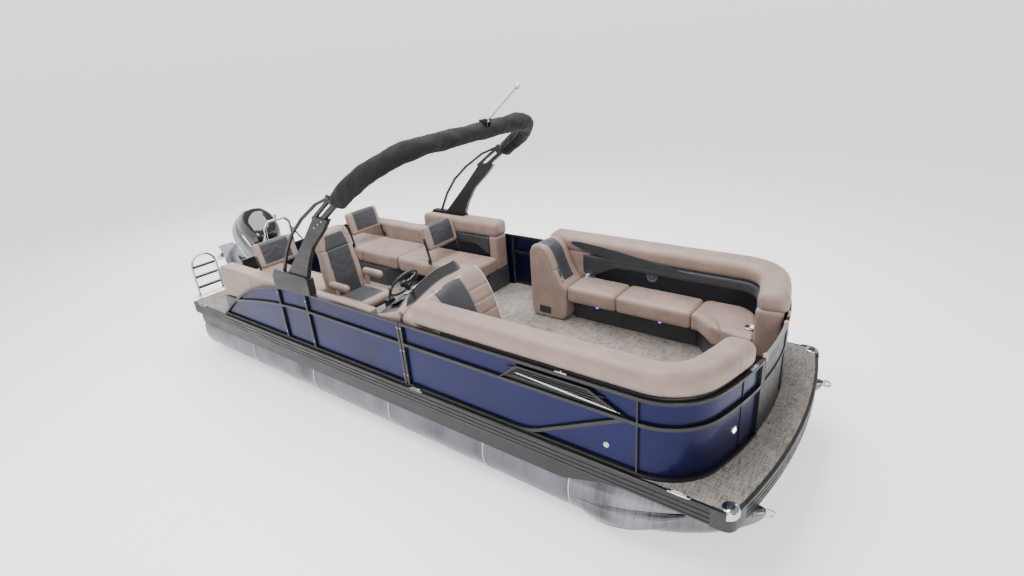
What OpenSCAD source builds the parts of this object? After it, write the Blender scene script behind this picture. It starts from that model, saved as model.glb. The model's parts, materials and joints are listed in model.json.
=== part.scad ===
// Pontoon boat: two tubes, railed deck, lounges, helm, arch and outboard engine.
// Built in millimetres, +X to the bow, +Y to port, +Z up, standing on its tubes.

/* [Deck] */
// Length of the deck along its straight sides
deck_len = 7260; // [7000:10:8800]
// Width over the rub rail
beam = 2590; // [2500:10:3200]
// How far the middle of the bow edge stands ahead of its corners
bow_bulge = 160; // [100:5:220]
// Radius of the deck's bow corners in plan
deck_corner_r = 80; // [60:5:120]
// Thickness of the deck board with its covering
deck_th = 30; // [22:1:40]
// Height of the rub rail round the deck
rub_h = 150; // [120:5:180]
// Thickness of the rub rail
rub_t = 33; // [26:1:45]
// Height of the skirt below the rub rail
skirt_h = 165; // [120:5:190]

/* [Tubes] */
// Diameter of each tube
tube_d = 635; // [560:5:700]
// Distance between the two tubes' centre lines
tube_span = 1900; // [1860:5:2000]
// Gap from the cross members' underside to the top of a tube
tube_gap = 10; // [8:1:30]
// Length of a tube's straight part
tube_len = 5900; // [5500:10:7300]
// Length of a tube's nose
nose_len = 1430; // [1200:10:1600]
// Height of the cross members
cross_h = 75; // [60:5:100]
// Distance from one cross member to the next
cross_pitch = 405; // [300:5:600]

/* [Rails] */
// Height of the fence above the deck
fence_h = 680; // [600:5:760]
// How far the fence stands in from the rub rail
fence_inset = 33; // [20:1:60]
// Radius of the fence's bow corners
fence_corner_r = 500; // [420:5:600]
// Radius of the fence's bow face in plan
fence_bow_r = 3100; // [2600:10:4000]
// Deck left ahead of the fence at the bow
bow_lip = 260; // [200:5:340]
// Deck left behind the fence at the stern
swim_deck = 800; // [700:5:1000]
// Face width of the rails' square tube
bar_w = 30; // [25:1:40]
// Depth of the rails' square tube
bar_t = 25; // [20:1:32]
// Thickness of the side panels
skin_t = 4; // [2:0.5:5]
// Height of the mid rail's top edge
mid_h = 470; // [420:5:520]
// Width of the bow gate
bow_gate_w = 670; // [560:10:760]
// Length of the port side gate
side_gate_w = 670; // [560:10:700]
// Width of the stern gate
stern_gate_w = 620; // [540:10:700]
// Gap round each gate
gate_gap = 8; // [6:1:12]

/* [Seats] */
// Height of the seat bases
base_h = 250; // [220:5:300]
// Height of the seats' top
seat_h = 440; // [400:5:480]
// Height of the backrests' top
bolster_h = 880; // [820:5:940]
// Thickness of the backrests at the sides
back_t = 215; // [180:5:240]
// Depth of the seats in front of the backrest
seat_d = 400; // [340:5:440]
// How far the seats stand over their base
seat_over = 160; // [80:5:180]
// Clearance between cushions
pad_gap = 6; // [5:1:12]

/* [Helm] */
// Length of the console fore and aft
console_len = 900; // [800:10:1000]
// Height of the console's ridge
console_h = 900; // [840:5:960]
// Width of the console
console_w = 1000; // [900:10:1050]
// Diameter of the steering wheel
wheel_d = 380; // [340:5:420]
// Width of the helm chair
chair_w = 520; // [460:5:560]
// Height of the helm chair's back
chair_h = 1210; // [1100:5:1300]

/* [Arch] */
// Height of the arch's top above the deck
arch_h = 2230; // [2100:10:2300]
// Diameter of the arch's tubes
arch_tube_d = 45; // [36:1:56]
// Diameter of the rolled canvas in its boot
boot_d = 190; // [150:5:230]

/* [Engine] */
// Distance from the transom's top to the plate over the propeller
shaft_len = 635; // [508:1:762]
// Length of the engine cowl
cowl_len = 780; // [640:5:860]
// Width of the engine cowl
cowl_w = 560; // [440:5:620]
// Height of the engine cowl
cowl_h = 680; // [560:5:760]
// Diameter of the propeller
prop_d = 370; // [300:5:400]
// How far the engine is tilted up
tilt_up = 55; // [40:1:65]

/* [Hidden] */

// Circles are smooth above this count of sides
fine = 48;
// The same for curves of some metres, and for the fence's corners
wide = 720;
bend = 240;
// Small overlap that joins two shapes of one node
bond = 1;
// Least gap left between still neighbours
play = 2;

// Deck plan
hw = beam / 2;
bow_x = deck_len + bow_bulge;
deck_bow_r = (hw * hw + bow_bulge * bow_bulge) / (2 * bow_bulge);
// Fence plan
fence_hw = hw - fence_inset;
fence_x = bow_x - bow_lip;
corner_x = fence_x - fence_bow_r
    + sqrt(pow(fence_bow_r - fence_corner_r, 2) - pow(fence_hw - fence_corner_r, 2));
skin_d = bar_t + 0.5;
liner_d = skin_d + skin_t + 15;
// Tubes
tube_r = tube_d / 2;
tube_y = tube_span / 2;
tube_z = -deck_th - cross_h - tube_gap - tube_r;
tube_x0 = 60;
nose_x0 = tube_x0 + tube_len;
tip_x = nose_x0 + nose_len;
eye_r = 34;
eye_hole_r = 14;
// Height of the deck's top over the ground
deck_z = tube_r - tube_z;

// Fence stations
joint_x = 4170;
gate_x0 = 3625;
gate_x1 = gate_x0 + side_gate_w + 2 * gate_gap;
arc_r = 2700;
arc_x = 2600;
mid_arc_r = 7500;
mid_arc_x = 2900;
// Seat stations
chaise_x0 = gate_x1 + bar_w + play;
chaise_len = 480;
bow_seat_x0 = chaise_x0 + chaise_len + play;
bow_split = 590;
seat_back_y = fence_hw - liner_d - back_t;
seat_front_y = seat_back_y - seat_d;
base_front_y = seat_front_y + seat_over;
bow_end_y = bow_gate_w / 2 + bar_w + gate_gap + 50;
stern_x0 = swim_deck + 55;
stern_pad_x1 = 2300;
lounge_x1 = 3560;
aisle_y = stern_gate_w / 2 + gate_gap + bar_w + 30;
// Helm stations
console_x1 = 4640;
console_x0 = console_x1 - console_len;
console_y = -(fence_hw - liner_d - play);
chair_x = 2900;
chair_y = -640;
seat_chaise_y = console_y + 220;
wheel_y = -640;
seat_base_z = 330;
bow_lid_len = 810;
// Flip backs
flip_x = 1460;
mid_flip_x = 2940;
flip_y = aisle_y + 62;
flip_w = 520;
flip_z = seat_h + 38;
flip_lean = 14;
flip_arm_t = 8;
flip_arm_gap = 6;
flip_pin_r = 8;
flip_pin = 5 + flip_arm_gap + flip_arm_t + 2;
// Arch
arch_foot_x0 = 2250;
arch_foot_x1 = arch_foot_x0 + 640;
hoop_x0 = arch_foot_x0 + 1100;
hoop_z0 = 1570;
hoop_x1 = arch_foot_x0 + 1950;
hoop_z1 = arch_h - 60;
hoop_r = 550;
hoop_rake = atan2(hoop_z1 - hoop_z0, hoop_x1 - hoop_x0);
hoop_len = norm([hoop_x1 - hoop_x0, hoop_z1 - hoop_z0]);
hoop_half = fence_hw - arch_tube_d / 2;
boot_foot = 300;
mast_x = hoop_x1 + 60;
mast_y = 180;
mast_z = hoop_z1 + 90;
mast_pin_r = 7;
// Stern gear
tow_x = 330;
tow_knob_r = 25;
ladder_x = -36;
ladder_y = -1150;
ladder_w = 330;
ladder_z = 26;
// Engine
tilt_x = -430;
tilt_z = 0;
steer_x = -150;
prop_z = -shaft_len - 20 - prop_d / 2;
// The part's origin lies below the middle of its whole length
aft_reach = 1583.5;
origin_x = (tip_x + 2 * eye_r - aft_reach) / 2;

// ---------- shared shapes ----------

// Moves from the deck's stern edge to the part's own origin
module on_boat() { translate([-origin_x, 0, deck_z]) children(); }

// Does its children on port (1) or starboard (-1)
module on_side(s) { mirror([0, s > 0 ? 0 : 1, 0]) children(); }

// Straight round bar between two points
module rod(a, b, r) {
    run = b - a;
    span = norm(run);
    translate(a) rotate([0, acos(run[2] / span), atan2(run[1], run[0])])
        cylinder(h = span, r = r, $fn = fine);
}

// Bent round bar through a list of points
module bent_bar(pts, r) {
    for (i = [0 : len(pts) - 2]) rod(pts[i], pts[i + 1], r);
    for (i = [1 : len(pts) - 2]) translate(pts[i]) sphere(r = r, $fn = fine);
}

// Strip of even width along a list of points
function left_of(pts, i) =
    let (a = pts[max(i - 1, 0)], b = pts[min(i + 1, len(pts) - 1)], t = (b - a) / norm(b - a))
    [-t[1], t[0]];
module strip(pts, w) {
    polygon([
        for (i = [0 : len(pts) - 1]) pts[i] + left_of(pts, i) * w / 2,
        for (i = [len(pts) - 1 : -1 : 0]) pts[i] - left_of(pts, i) * w / 2
    ]);
}

// Plan with straight sides, an arched bow and round bow corners, drawn in by inset
module bow_plan(front, bow_r, half, corner_r, back, inset) {
    cx = front - bow_r + sqrt(pow(bow_r - corner_r, 2) - pow(half - corner_r, 2));
    cy = half - corner_r;
    lean = atan2(cy, cx - front + bow_r);
    reach = corner_r + 400;
    translate([back + inset, -half + inset]) square([cx - back - inset, 2 * (half - inset)]);
    for (s = [-1, 1]) translate([cx, s * cy]) circle(r = corner_r - inset, $fn = bend);
    intersection() {
        translate([front - bow_r, 0]) circle(r = bow_r - inset, $fn = wide);
        polygon([
            [cx - bond, -cy], [cx + reach * cos(lean), -cy - reach * sin(lean)],
            [cx + reach * cos(lean), cy + reach * sin(lean)], [cx - bond, cy]
        ]);
    }
}
module deck_plan(inset) {
    bow_plan(bow_x, deck_bow_r, hw, deck_corner_r, 0, inset);
}
module fence_plan(inset) {
    bow_plan(fence_x, fence_bow_r, fence_hw, fence_corner_r, -200, inset);
}
module fence_ring(inset_a, inset_b) {
    difference() {
        fence_plan(inset_a);
        fence_plan(inset_b);
    }
}

// Part of the fence ring at the port bow corner, from the straight side to the gate
module corner_ring(inset_a, inset_b, z0, z1) {
    end_y = bow_gate_w / 2 + gate_gap;
    translate([0, 0, z0]) linear_extrude(z1 - z0) intersection() {
        fence_ring(inset_a, inset_b);
        translate([corner_x - bond, end_y]) square([fence_corner_r + 400, hw]);
    }
}

// Stands a side elevation up on the port side, from inset outwards to inset less depth
module side_wall(inset, depth) {
    translate([0, fence_hw - inset, 0]) rotate([90, 0, 0]) linear_extrude(depth) children();
}

// ---------- hull ----------

module nose() {
    steps = 9;
    hull() {
        for (i = [0 : steps]) {
            t = i / steps;
            r = tube_r * pow(1 - pow(t, 1.9), 0.75) + 22 * t;
            translate([nose_x0 + (nose_len - bond) * t, 0, tube_z + tube_r - r - 30 * t * t])
                rotate([0, 90, 0]) cylinder(r = r, h = bond, $fn = 40);
        }
    }
}

// Tube with its nose, spray strake and the bracket that carries the cross members
module pontoon(s) {
    on_side(s) translate([0, tube_y, 0]) difference() {
        tube();
        // Room for the rub rail over the nose
        translate([deck_len - 60, -tube_r, -rub_h - play]) cube([bow_bulge + 90, tube_d, 200]);
    }
}
module tube() {
    union() {
        translate([tube_x0, 0, tube_z]) rotate([0, 90, 0])
            cylinder(r = tube_r, h = tube_len + bond, $fn = 96);
        nose();
        translate([tube_x0 + 100, -60, tube_z + tube_r - 25])
            cube([tube_len + 500, 120, 25 + tube_gap]);
        // Spray strake on the outboard side
        hull() {
            translate([nose_x0 + 60, tube_r - 55, tube_z - 95]) cube([10, 60, 8]);
            translate([nose_x0 + 60, tube_r - 130, tube_z - 215]) cube([10, 30, 8]);
            translate([nose_x0 + 460, tube_r - 60, tube_z - 20]) cube([10, 50, 8]);
            translate([nose_x0 + 860, tube_r - 150, tube_z + 90]) cube([10, 40, 8]);
        }
    }
}

module pontoon_starboard() { color("silver") on_boat() pontoon(-1); }
module pontoon_port() { color("silver") on_boat() pontoon(1); }

module cross_member() {
    half = hw - rub_t - play;
    translate([0, half, 0]) rotate([90, 0, 0]) linear_extrude(2 * half) difference() {
        square([40, cross_h]);
        translate([5, 5]) square([40, cross_h - 10]);
    }
}

module cross_members() {
    first = 160;
    last = deck_len - 250;
    count = floor((last - first) / cross_pitch);
    color("silver") on_boat() for (i = [0 : count])
        translate([first + i * cross_pitch, 0, -deck_th - cross_h]) cross_member();
}

// Pod under the stern with the transom that the engine hangs on
module motor_pod() {
    top = -deck_th - cross_h - play;
    color("silver") on_boat() {
        translate([0, 330, 0]) rotate([90, 0, 0]) linear_extrude(660) polygon([
            [tilt_x + 60, -560], [650, -560], [900, -330], [900, top], [rub_t + 7, top],
            [rub_t + 7, -rub_h - play], [-20, -rub_h - play], [-20, top - 60], [tilt_x + 120, top - 60], [tilt_x + 120, tilt_z - 60],
            [tilt_x + 60, tilt_z - 60]
        ]);
        for (s = [-1, 1]) translate([tilt_x + 120 - bond, s * 300 - 6, top - 100])
            cube([-tilt_x - 140, 12, 60]);
    }
}

module deck() {
    color("#9c9693") on_boat() translate([0, 0, -deck_th])
        linear_extrude(deck_th) deck_plan(rub_t + 0.5);
}

// Plan of the two corner castings' places, drawn in by gap
module corner_zone(gap) {
    cx = bow_x - deck_bow_r
        + sqrt(pow(deck_bow_r - deck_corner_r, 2) - pow(hw - deck_corner_r, 2));
    for (s = [-1, 1]) on_side(s) translate([cx - 90 + gap, hw - 170 + gap]) square([300, 200]);
}

module rub_rail() {
    color("#33352f") on_boat() translate([0, 0, -rub_h]) linear_extrude(rub_h) difference() {
        deck_plan(4);
        deck_plan(rub_t);
        corner_zone(0);
    }
}

module corner_caps() {
    color("gainsboro") on_boat() translate([0, 0, -rub_h]) linear_extrude(rub_h + 6)
        intersection() {
            difference() {
                deck_plan(0);
                deck_plan(rub_t);
            }
            corner_zone(0.5);
        }
}

module side_skirts() {
    x0 = 100;
    x1 = deck_len - 860;
    drop = rub_h + skirt_h;
    color("#3c3f41") on_boat() for (s = [-1, 1]) on_side(s)
        translate([0, hw - rub_t - play, 0]) rotate([90, 0, 0]) linear_extrude(6) polygon([
            [x0, -deck_th - cross_h - play], [x0, -drop + 40], [x0 + 60, -drop],
            [x1 - 500, -drop], [x1, -rub_h - 10], [x1, -deck_th - cross_h - play]
        ]);
}

// Towing eyes at the tips of the noses
module bow_eyes() {
    color("gainsboro") on_boat() for (s = [-1, 1])
        translate([tip_x, s * tube_y + 6, tube_z + tube_r - 52]) rotate([90, 0, 0])
            linear_extrude(12) difference() {
                union() {
                    translate([eye_r, 0]) circle(r = eye_r, $fn = fine);
                    translate([0, -eye_r]) square([eye_r, 2 * eye_r]);
                }
                translate([eye_r, 0]) circle(r = eye_hole_r, $fn = fine);
            }
}

// Flat cleats on the rub rail
module cleats() {
    color("gainsboro") on_boat() for (s = [-1, 1], x = [260, 4300, deck_len - 380]) on_side(s)
        translate([x, hw - rub_t / 2 - 3, 0]) {
            translate([-80, -12, 0]) cube([160, 24, 6]);
            for (d = [-35, 35]) translate([d - 8, -8, 5]) cube([16, 16, 14]);
            translate([-75, -8, 18]) cube([150, 16, 10]);
        }
}

// ---------- fence ----------

// The rails' rising arc at the stern, filled below its top edge lowered by drop
module arc_fill(drop) {
    intersection() {
        translate([arc_x, fence_h - arc_r]) circle(r = arc_r - drop, $fn = wide);
        square([arc_x, fence_h]);
    }
    translate([arc_x, 0]) square([corner_x - arc_x + bond, fence_h - drop]);
}

// Arched accent above the mid rail near the bow, w inside its outline
module accent(w) {
    x0 = corner_x - 1230;
    intersection() {
        translate([x0, mid_h - bar_w / 2]) square([1230, 200]);
        polygon([
            [x0 + w * 2, mid_h - bar_w], [x0 + w * 2, mid_h - bar_w / 2 + w],
            [x0 + 190 + w, mid_h + 150 - w], [x0 + 850 - w, mid_h + 150 - w],
            [x0 + 1190 - w * 2, mid_h - bar_w / 2 + w], [x0 + 1190 - w * 2, mid_h - bar_w]
        ]);
    }
}

// Lower rail that sweeps from the deck up to the mid rail near the bow
function sweep_points() =
    let (x0 = corner_x - 1110, r = 620, turn = 27)
    concat([for (a = [0 : 3 : turn]) [x0 + r * sin(a), bar_w / 2 + r * (1 - cos(a))]],
        [[corner_x - 90, mid_h - bar_w / 2]]);

// Side elevation of all rails, from the stern to where the bow corner begins
module rails_elevation(posts) {
    difference() {
        arc_fill(0);
        arc_fill(bar_w);
    }
    intersection() {
        arc_fill(0);
        union() {
            square([corner_x + bond, bar_w]);
            translate([mid_arc_x, mid_h - bar_w]) square([corner_x - mid_arc_x + bond, bar_w]);
            intersection() {
                translate([mid_arc_x, mid_h - mid_arc_r]) difference() {
                    circle(r = mid_arc_r, $fn = wide);
                    circle(r = mid_arc_r - bar_w, $fn = wide);
                }
                square([mid_arc_x, fence_h]);
            }
            for (x = posts) translate([x, 0]) square([bar_w, fence_h]);
        }
    }
    strip(sweep_points(), bar_w);
    difference() {
        accent(0);
        accent(18);
    }
}

// Rails and posts of one stretch of the port side
module side_frame(x0, x1, posts) {
    side_wall(0, bar_t) intersection() {
        rails_elevation(posts);
        translate([x0, 0]) square([x1 - x0, fence_h]);
    }
}
module side_panel(x0, x1) {
    side_wall(skin_d, skin_t) intersection() {
        arc_fill(4);
        translate([x0, 3]) square([x1 - x0, fence_h]);
    }
}

// Rails round the port bow corner with the gate's post
module corner_frame() {
    end_y = bow_gate_w / 2 + gate_gap;
    corner_ring(0, bar_t, 0, bar_w);
    corner_ring(0, bar_t, mid_h - bar_w, mid_h);
    corner_ring(0, bar_t, fence_h - bar_w, fence_h);
    intersection() {
        corner_ring(0, bar_t, 0, fence_h);
        union() {
            translate([corner_x, fence_hw - 60, 0]) cube([12, 100, fence_h]);
            translate([corner_x, end_y, 0]) cube([fence_corner_r + 300, bar_w, fence_h]);
        }
    }
}

module starboard_aft_frame() {
    color("#33352f") on_boat() on_side(-1)
        side_frame(0, joint_x, [2205, 2715, joint_x - bar_w]);
}
module starboard_bow_frame() {
    color("#33352f") on_boat() on_side(-1) {
        side_frame(joint_x + 12, corner_x + bond, [joint_x + 12]);
        corner_frame();
        accent_plate();
    }
}
module port_aft_frame() {
    color("#33352f") on_boat() side_frame(0, gate_x0, [2205, 2715, gate_x0 - bar_w]);
}
module port_bow_frame() {
    color("#33352f") on_boat() {
        side_frame(gate_x1, corner_x + bond, [gate_x1]);
        corner_frame();
        accent_plate();
    }
}
// Dark plate that backs the accent
module accent_plate() {
    side_wall(bar_t - 6, 6) accent(bond);
}

module starboard_aft_panel() {
    color("#3b3f78") on_boat() on_side(-1) side_panel(0, joint_x - 1);
}
module starboard_bow_panel() {
    color("#3b3f78") on_boat() on_side(-1) {
        side_panel(joint_x + 13, corner_x + bond);
        corner_ring(skin_d, skin_d + skin_t, 3, fence_h - 4);
    }
}
module port_aft_panel() {
    color("#3b3f78") on_boat() side_panel(0, gate_x0 - 1);
}
module port_bow_panel() {
    color("#3b3f78") on_boat() {
        side_panel(gate_x1 + 1, corner_x + bond);
        corner_ring(skin_d, skin_d + skin_t, 3, fence_h - 4);
    }
}

// Flat gate lying in the XZ plane from the origin, hinged at its own end
module gate_leaf(w, h) {
    rotate([90, 0, 0]) {
        linear_extrude(bar_t) difference() {
            square([w, h]);
            translate([bar_w, bar_w]) square([w - 2 * bar_w, mid_h - 2 * bar_w - 20]);
            translate([bar_w, mid_h - 20]) square([w - 2 * bar_w, h - mid_h + 20 - bar_w]);
        }
        translate([0, 0, bar_t / 2 - skin_t / 2]) linear_extrude(skin_t)
            translate([bond, bond]) square([w - 2 * bond, h - 2 * bond]);
    }
}

module bow_gate() {
    half = bow_gate_w / 2;
    z0 = 20;
    color("#33352f") on_boat() {
        difference() {
            translate([0, 0, z0]) linear_extrude(fence_h - z0) intersection() {
                fence_ring(0, bar_t);
                translate([corner_x, -half]) square([900, 2 * half]);
            }
            for (z = [[z0 + bar_w, 190], [210 + bar_w, 200], [mid_h, fence_h - mid_h - bar_w]])
                translate([corner_x, -half + bar_w, z[0]]) cube([900, 2 * half - 2 * bar_w, z[1]]);
        }
        translate([0, 0, z0 + bond]) linear_extrude(fence_h - z0 - 2 * bond) intersection() {
            fence_ring(bar_t / 2, bar_t / 2 + skin_t);
            translate([corner_x, -half + bond]) square([900, 2 * half - 2 * bond]);
        }
    }
}
module port_gate() {
    color("#33352f") on_boat() translate([gate_x0 + gate_gap, fence_hw, 20])
        gate_leaf(side_gate_w, fence_h - 20);
}

// Low fence across the stern on both sides of the stern gate
module stern_fence() {
    y0 = stern_gate_w / 2 + gate_gap;
    color("#33352f") on_boat() for (s = [-1, 1]) on_side(s)
        translate([swim_deck + 15, y0, 0]) {
            cube([bar_t, bar_w, 600]);
            translate([0, 0, 570]) cube([bar_t, 880 - y0, bar_w]);
            cube([bar_t, 880 - y0, bar_w]);
            translate([8, bar_w - bond, bar_w - bond])
                cube([8, 880 - y0 - bar_w, 545]);
            translate([0, 880 - y0 - bar_w, 0]) cube([bar_t, bar_w, 600]);
        }
}
module stern_gate() {
    color("#33352f") on_boat() translate([swim_deck + 15, -stern_gate_w / 2, 20])
        rotate([0, 0, 90]) gate_leaf(stern_gate_w, 580);
}

// ---------- lounges ----------

// Plan of the port bow lounge's base
module bow_base_plan() {
    turn_x = corner_x - 280;
    drop = base_front_y - bow_end_y;
    intersection() {
        fence_plan(liner_d);
        polygon([
            [bow_seat_x0, base_front_y], [turn_x, base_front_y], [turn_x + drop * 0.8, bow_end_y],
            [fence_x, bow_end_y], [fence_x, hw], [bow_seat_x0, hw]
        ]);
    }
}
// Plan of the locker inside it, under the hinged seat
module bow_locker_plan() {
    translate([bow_seat_x0 + bow_split + 25, base_front_y + 20])
        square([bow_lid_len - 50, seat_back_y - base_front_y - 45]);
}
module bow_base(x0) {
    difference() {
        linear_extrude(base_h) union() {
            bow_base_plan();
            translate([x0, base_front_y]) square([bow_seat_x0 - x0 + bond,
                fence_hw - liner_d - base_front_y]);
        }
        translate([0, 0, 20]) linear_extrude(base_h) bow_locker_plan();
    }
}
module port_bow_base() { color("#4b4d52") on_boat() bow_base(bow_seat_x0); }
module starboard_bow_base() {
    color("#4b4d52") on_boat() on_side(-1) bow_base(bow_seat_x0);
}

// Plan of the port bow seats from the aft end to the gate
module bow_seat_plan() {
    turn_x = bow_seat_x0 + bow_split + bow_lid_len + 60;
    intersection() {
        fence_plan(liner_d + back_t + pad_gap);
        polygon([
            [bow_seat_x0, seat_front_y], [turn_x, seat_front_y], [turn_x + 190, bow_end_y],
            [fence_x, bow_end_y], [fence_x, hw], [bow_seat_x0, hw]
        ]);
    }
}
module bow_seat() {
    lid_x0 = bow_seat_x0 + bow_split;
    translate([0, 0, base_h + play]) linear_extrude(seat_h - base_h - play) difference() {
        bow_seat_plan();
        translate([lid_x0 - pad_gap / 2, 0]) square([bow_lid_len + pad_gap, hw]);
    }
}
module bow_lid() {
    translate([bow_seat_x0 + bow_split + pad_gap / 2, seat_front_y, base_h + play])
        cube([bow_lid_len - pad_gap, seat_back_y - seat_front_y - pad_gap,
            seat_h - base_h - play]);
}
module port_bow_seat() { color("#b3a299") on_boat() bow_seat(); }
module starboard_bow_seat() { color("#b3a299") on_boat() on_side(-1) bow_seat(); }
module port_bow_lid() { color("#b3a299") on_boat() bow_lid(); }
module starboard_bow_lid() { color("#b3a299") on_boat() on_side(-1) bow_lid(); }

// Backrest round the bow corner; above the fence it rolls out over the rail
module bow_backrest(x0) {
    keep = 8;
    module stretch(z0, z1, out, in) {
        translate([0, 0, z0]) linear_extrude(z1 - z0) intersection() {
            fence_ring(out, in);
            translate([x0, bow_end_y]) square([fence_x - x0 + bond, hw]);
        }
    }
    stretch(base_h + play, fence_h + play, liner_d, liner_d + back_t);
    stretch(fence_h + play - bond, bolster_h - 50, keep, liner_d + back_t);
    stretch(bolster_h - 50 - bond, bolster_h, keep + 45, liner_d + back_t - 45);
}
module port_bow_backrest() {
    color("#b3a299") on_boat() bow_backrest(chaise_x0);
}
module starboard_bow_backrest() {
    color("#b3a299") on_boat() on_side(-1) bow_backrest(console_x1 + play);
}

// Chaise end unit at the aft end of the port bow lounge
module port_chaise() {
    width = seat_back_y - pad_gap - seat_front_y;
    color("#b3a299") on_boat() translate([chaise_x0, seat_back_y - pad_gap, 0])
        rotate([90, 0, 0]) linear_extrude(width) polygon([
            [0, 0], [0, 800], [25, 845], [80, bolster_h - 15], [190, bolster_h - 15],
            [235, 830], [310, 640], [430, seat_h + pad_gap], [chaise_len, seat_h - 150],
            [chaise_len, 0]
        ]);
}

// Bases of the stern lounges, the port one running forward to the side gate
module stern_bases() {
    depth = fence_hw - liner_d - aisle_y;
    color("#4b4d52") on_boat() {
        translate([stern_x0, -aisle_y - depth, 0]) cube([stern_pad_x1 - stern_x0, depth, base_h]);
        linear_extrude(base_h) polygon([
            [stern_x0, aisle_y], [stern_pad_x1 - 200, aisle_y],
            [stern_pad_x1 + 150, base_front_y + 60], [lounge_x1, base_front_y + 60],
            [lounge_x1, fence_hw - liner_d], [stern_x0, fence_hw - liner_d]
        ]);
    }
}
module stern_pad_box(x0, x1, y0) {
    translate([x0, y0, base_h + play]) cube([x1 - x0, seat_back_y - pad_gap - y0,
        seat_h - base_h - play]);
}
module starboard_stern_pads() {
    color("#b3a299") on_boat() on_side(-1) stern_pad_box(stern_x0, stern_pad_x1, aisle_y + 30);
}
module port_stern_pads() {
    color("#b3a299") on_boat() {
        stern_pad_box(stern_x0, stern_pad_x1 - pad_gap, aisle_y + 30);
        translate([0, 0, base_h + play]) linear_extrude(seat_h - base_h - play) polygon([
            [stern_pad_x1, aisle_y + 20], [stern_pad_x1 + 550, aisle_y + 20],
            [lounge_x1, seat_front_y], [lounge_x1, seat_back_y - pad_gap],
            [stern_pad_x1, seat_back_y - pad_gap]
        ]);
    }
}

// Side coaming of the stern seats and of the helm
module coaming(x0, x1, z1, depth) {
    translate([x0, fence_hw - liner_d - depth, base_h + play])
        cube([x1 - x0, depth, z1 - base_h - play]);
}
module starboard_coaming() {
    color("#b3a299") on_boat() on_side(-1) {
        coaming(stern_x0, stern_pad_x1, 640, back_t);
        translate([stern_pad_x1 + play, fence_hw - liner_d - 110, 0])
            cube([console_x0 - stern_pad_x1 - 2 * play, 110, fence_h]);
    }
}
module port_coaming() {
    roll_x0 = arch_foot_x1 + 20;
    color("#b3a299") on_boat() {
        coaming(stern_x0, stern_pad_x1, 640, back_t);
        coaming(stern_pad_x1 - bond, lounge_x1, fence_h + play, back_t);
        translate([roll_x0, seat_back_y, fence_h + play - bond])
            cube([lounge_x1 - roll_x0, fence_hw - 8 - seat_back_y, bolster_h - fence_h - play]);
        translate([stern_pad_x1 - bond, seat_back_y, fence_h + play - bond])
            cube([roll_x0 - stern_pad_x1 + 2 * bond, 130, bolster_h - fence_h - play]);
    }
}

// Backrest that flips between facing forward and aft, on an arm at each end
module flip_back(x) {
    translate([x, flip_y, flip_z]) rotate([0, -flip_lean, 0]) {
        translate([-50, 0, 130]) cube([100, flip_w, 310]);
        for (y = [-flip_arm_gap - flip_arm_t, flip_w + flip_arm_gap]) difference() {
            translate([-20, y, -20]) cube([40, flip_arm_t, 330]);
            translate([0, y - 1, 0]) rotate([-90, 0, 0])
                cylinder(r = flip_pin_r + 0.5, h = flip_arm_t + 2, $fn = fine);
        }
        for (y = [-flip_arm_gap - bond, flip_w - bond]) translate([0, y, 250])
            rotate([-90, 0, 0]) cylinder(r = 12, h = flip_arm_gap + 2 * bond, $fn = fine);
    }
}
// Lugs on the seats with the pins that the flip backs' arms turn on
module flip_lugs() {
    out = flip_arm_gap + flip_arm_t + flip_arm_gap;
    foot = seat_h + play;
    color("gainsboro") on_boat() for (at = [[flip_x, 1], [flip_x, -1], [mid_flip_x, 1]])
        on_side(at[1]) translate([at[0], flip_y, 0]) for (y = [-out - 10, flip_w + out]) {
            translate([-25, y, foot]) cube([50, 10, flip_z + 25 - foot]);
            translate([0, y < 0 ? y + 5 : y + 5 - flip_pin, flip_z]) rotate([-90, 0, 0])
                cylinder(r = flip_pin_r, h = flip_pin, $fn = fine);
        }
}
module starboard_flip_back() {
    color("#4b4d52") on_boat() on_side(-1) flip_back(flip_x);
}
module port_flip_back() { color("#4b4d52") on_boat() flip_back(flip_x); }
module mid_flip_back() {
    color("#4b4d52") on_boat() flip_back(mid_flip_x);
}

// ---------- helm ----------

// Side outline of the console, from its aft foot round over the ridge
function console_front() = [
    [console_x1 - 380, console_h], [console_x1 - 320, console_h - 30],
    [console_x1 - 230, console_h - 140], [console_x1 - 160, console_h - 260],
    [console_x1 - 80, seat_h - 30], [console_x1 - 20, 100]
];
module console() {
    color("#b3a299") on_boat() {
        translate([0, console_y + console_w, 0]) rotate([90, 0, 0])
            linear_extrude(console_w) polygon(concat([
                [console_x0 + 220, 0], [console_x0 + 220, 470], [console_x0, 560],
                [console_x0, 700], [console_x0 + 330, console_h - 30],
                [console_x0 + 420, console_h]
            ], console_front(), [[console_x1 - 20, 0]]));
        // Boss that the wheel's shaft comes out of
        at_wheel() translate([0, 0, -60]) cylinder(r = 30, h = 90, $fn = fine);
    }
}
module console_chaise() {
    front = console_front();
    inner = [for (i = [1 : 4]) front[i] + [play, 0]];
    outer = [for (i = [4 : -1 : 1]) front[i] + [62, 18]];
    color("#4b4d52") on_boat() translate([0, seat_chaise_y + 560, 0]) rotate([90, 0, 0])
        linear_extrude(560) intersection() {
            polygon(concat(inner, outer));
            translate([0, seat_h + pad_gap]) square([console_x1, console_h]);
        }
}
module windscreen() {
    color("#22262a") on_boat() translate([0, console_y + console_w - 120, 0])
        rotate([90, 0, 0]) linear_extrude(console_w - 240) polygon([
            [console_x1 - 440, console_h], [console_x1 - 430, console_h],
            [console_x1 - 472, console_h + 80], [console_x1 - 482, console_h + 80]
        ]);
}
module at_wheel() {
    translate([console_x0, wheel_y, 640]) rotate([0, -55, 0]) children();
}
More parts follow.
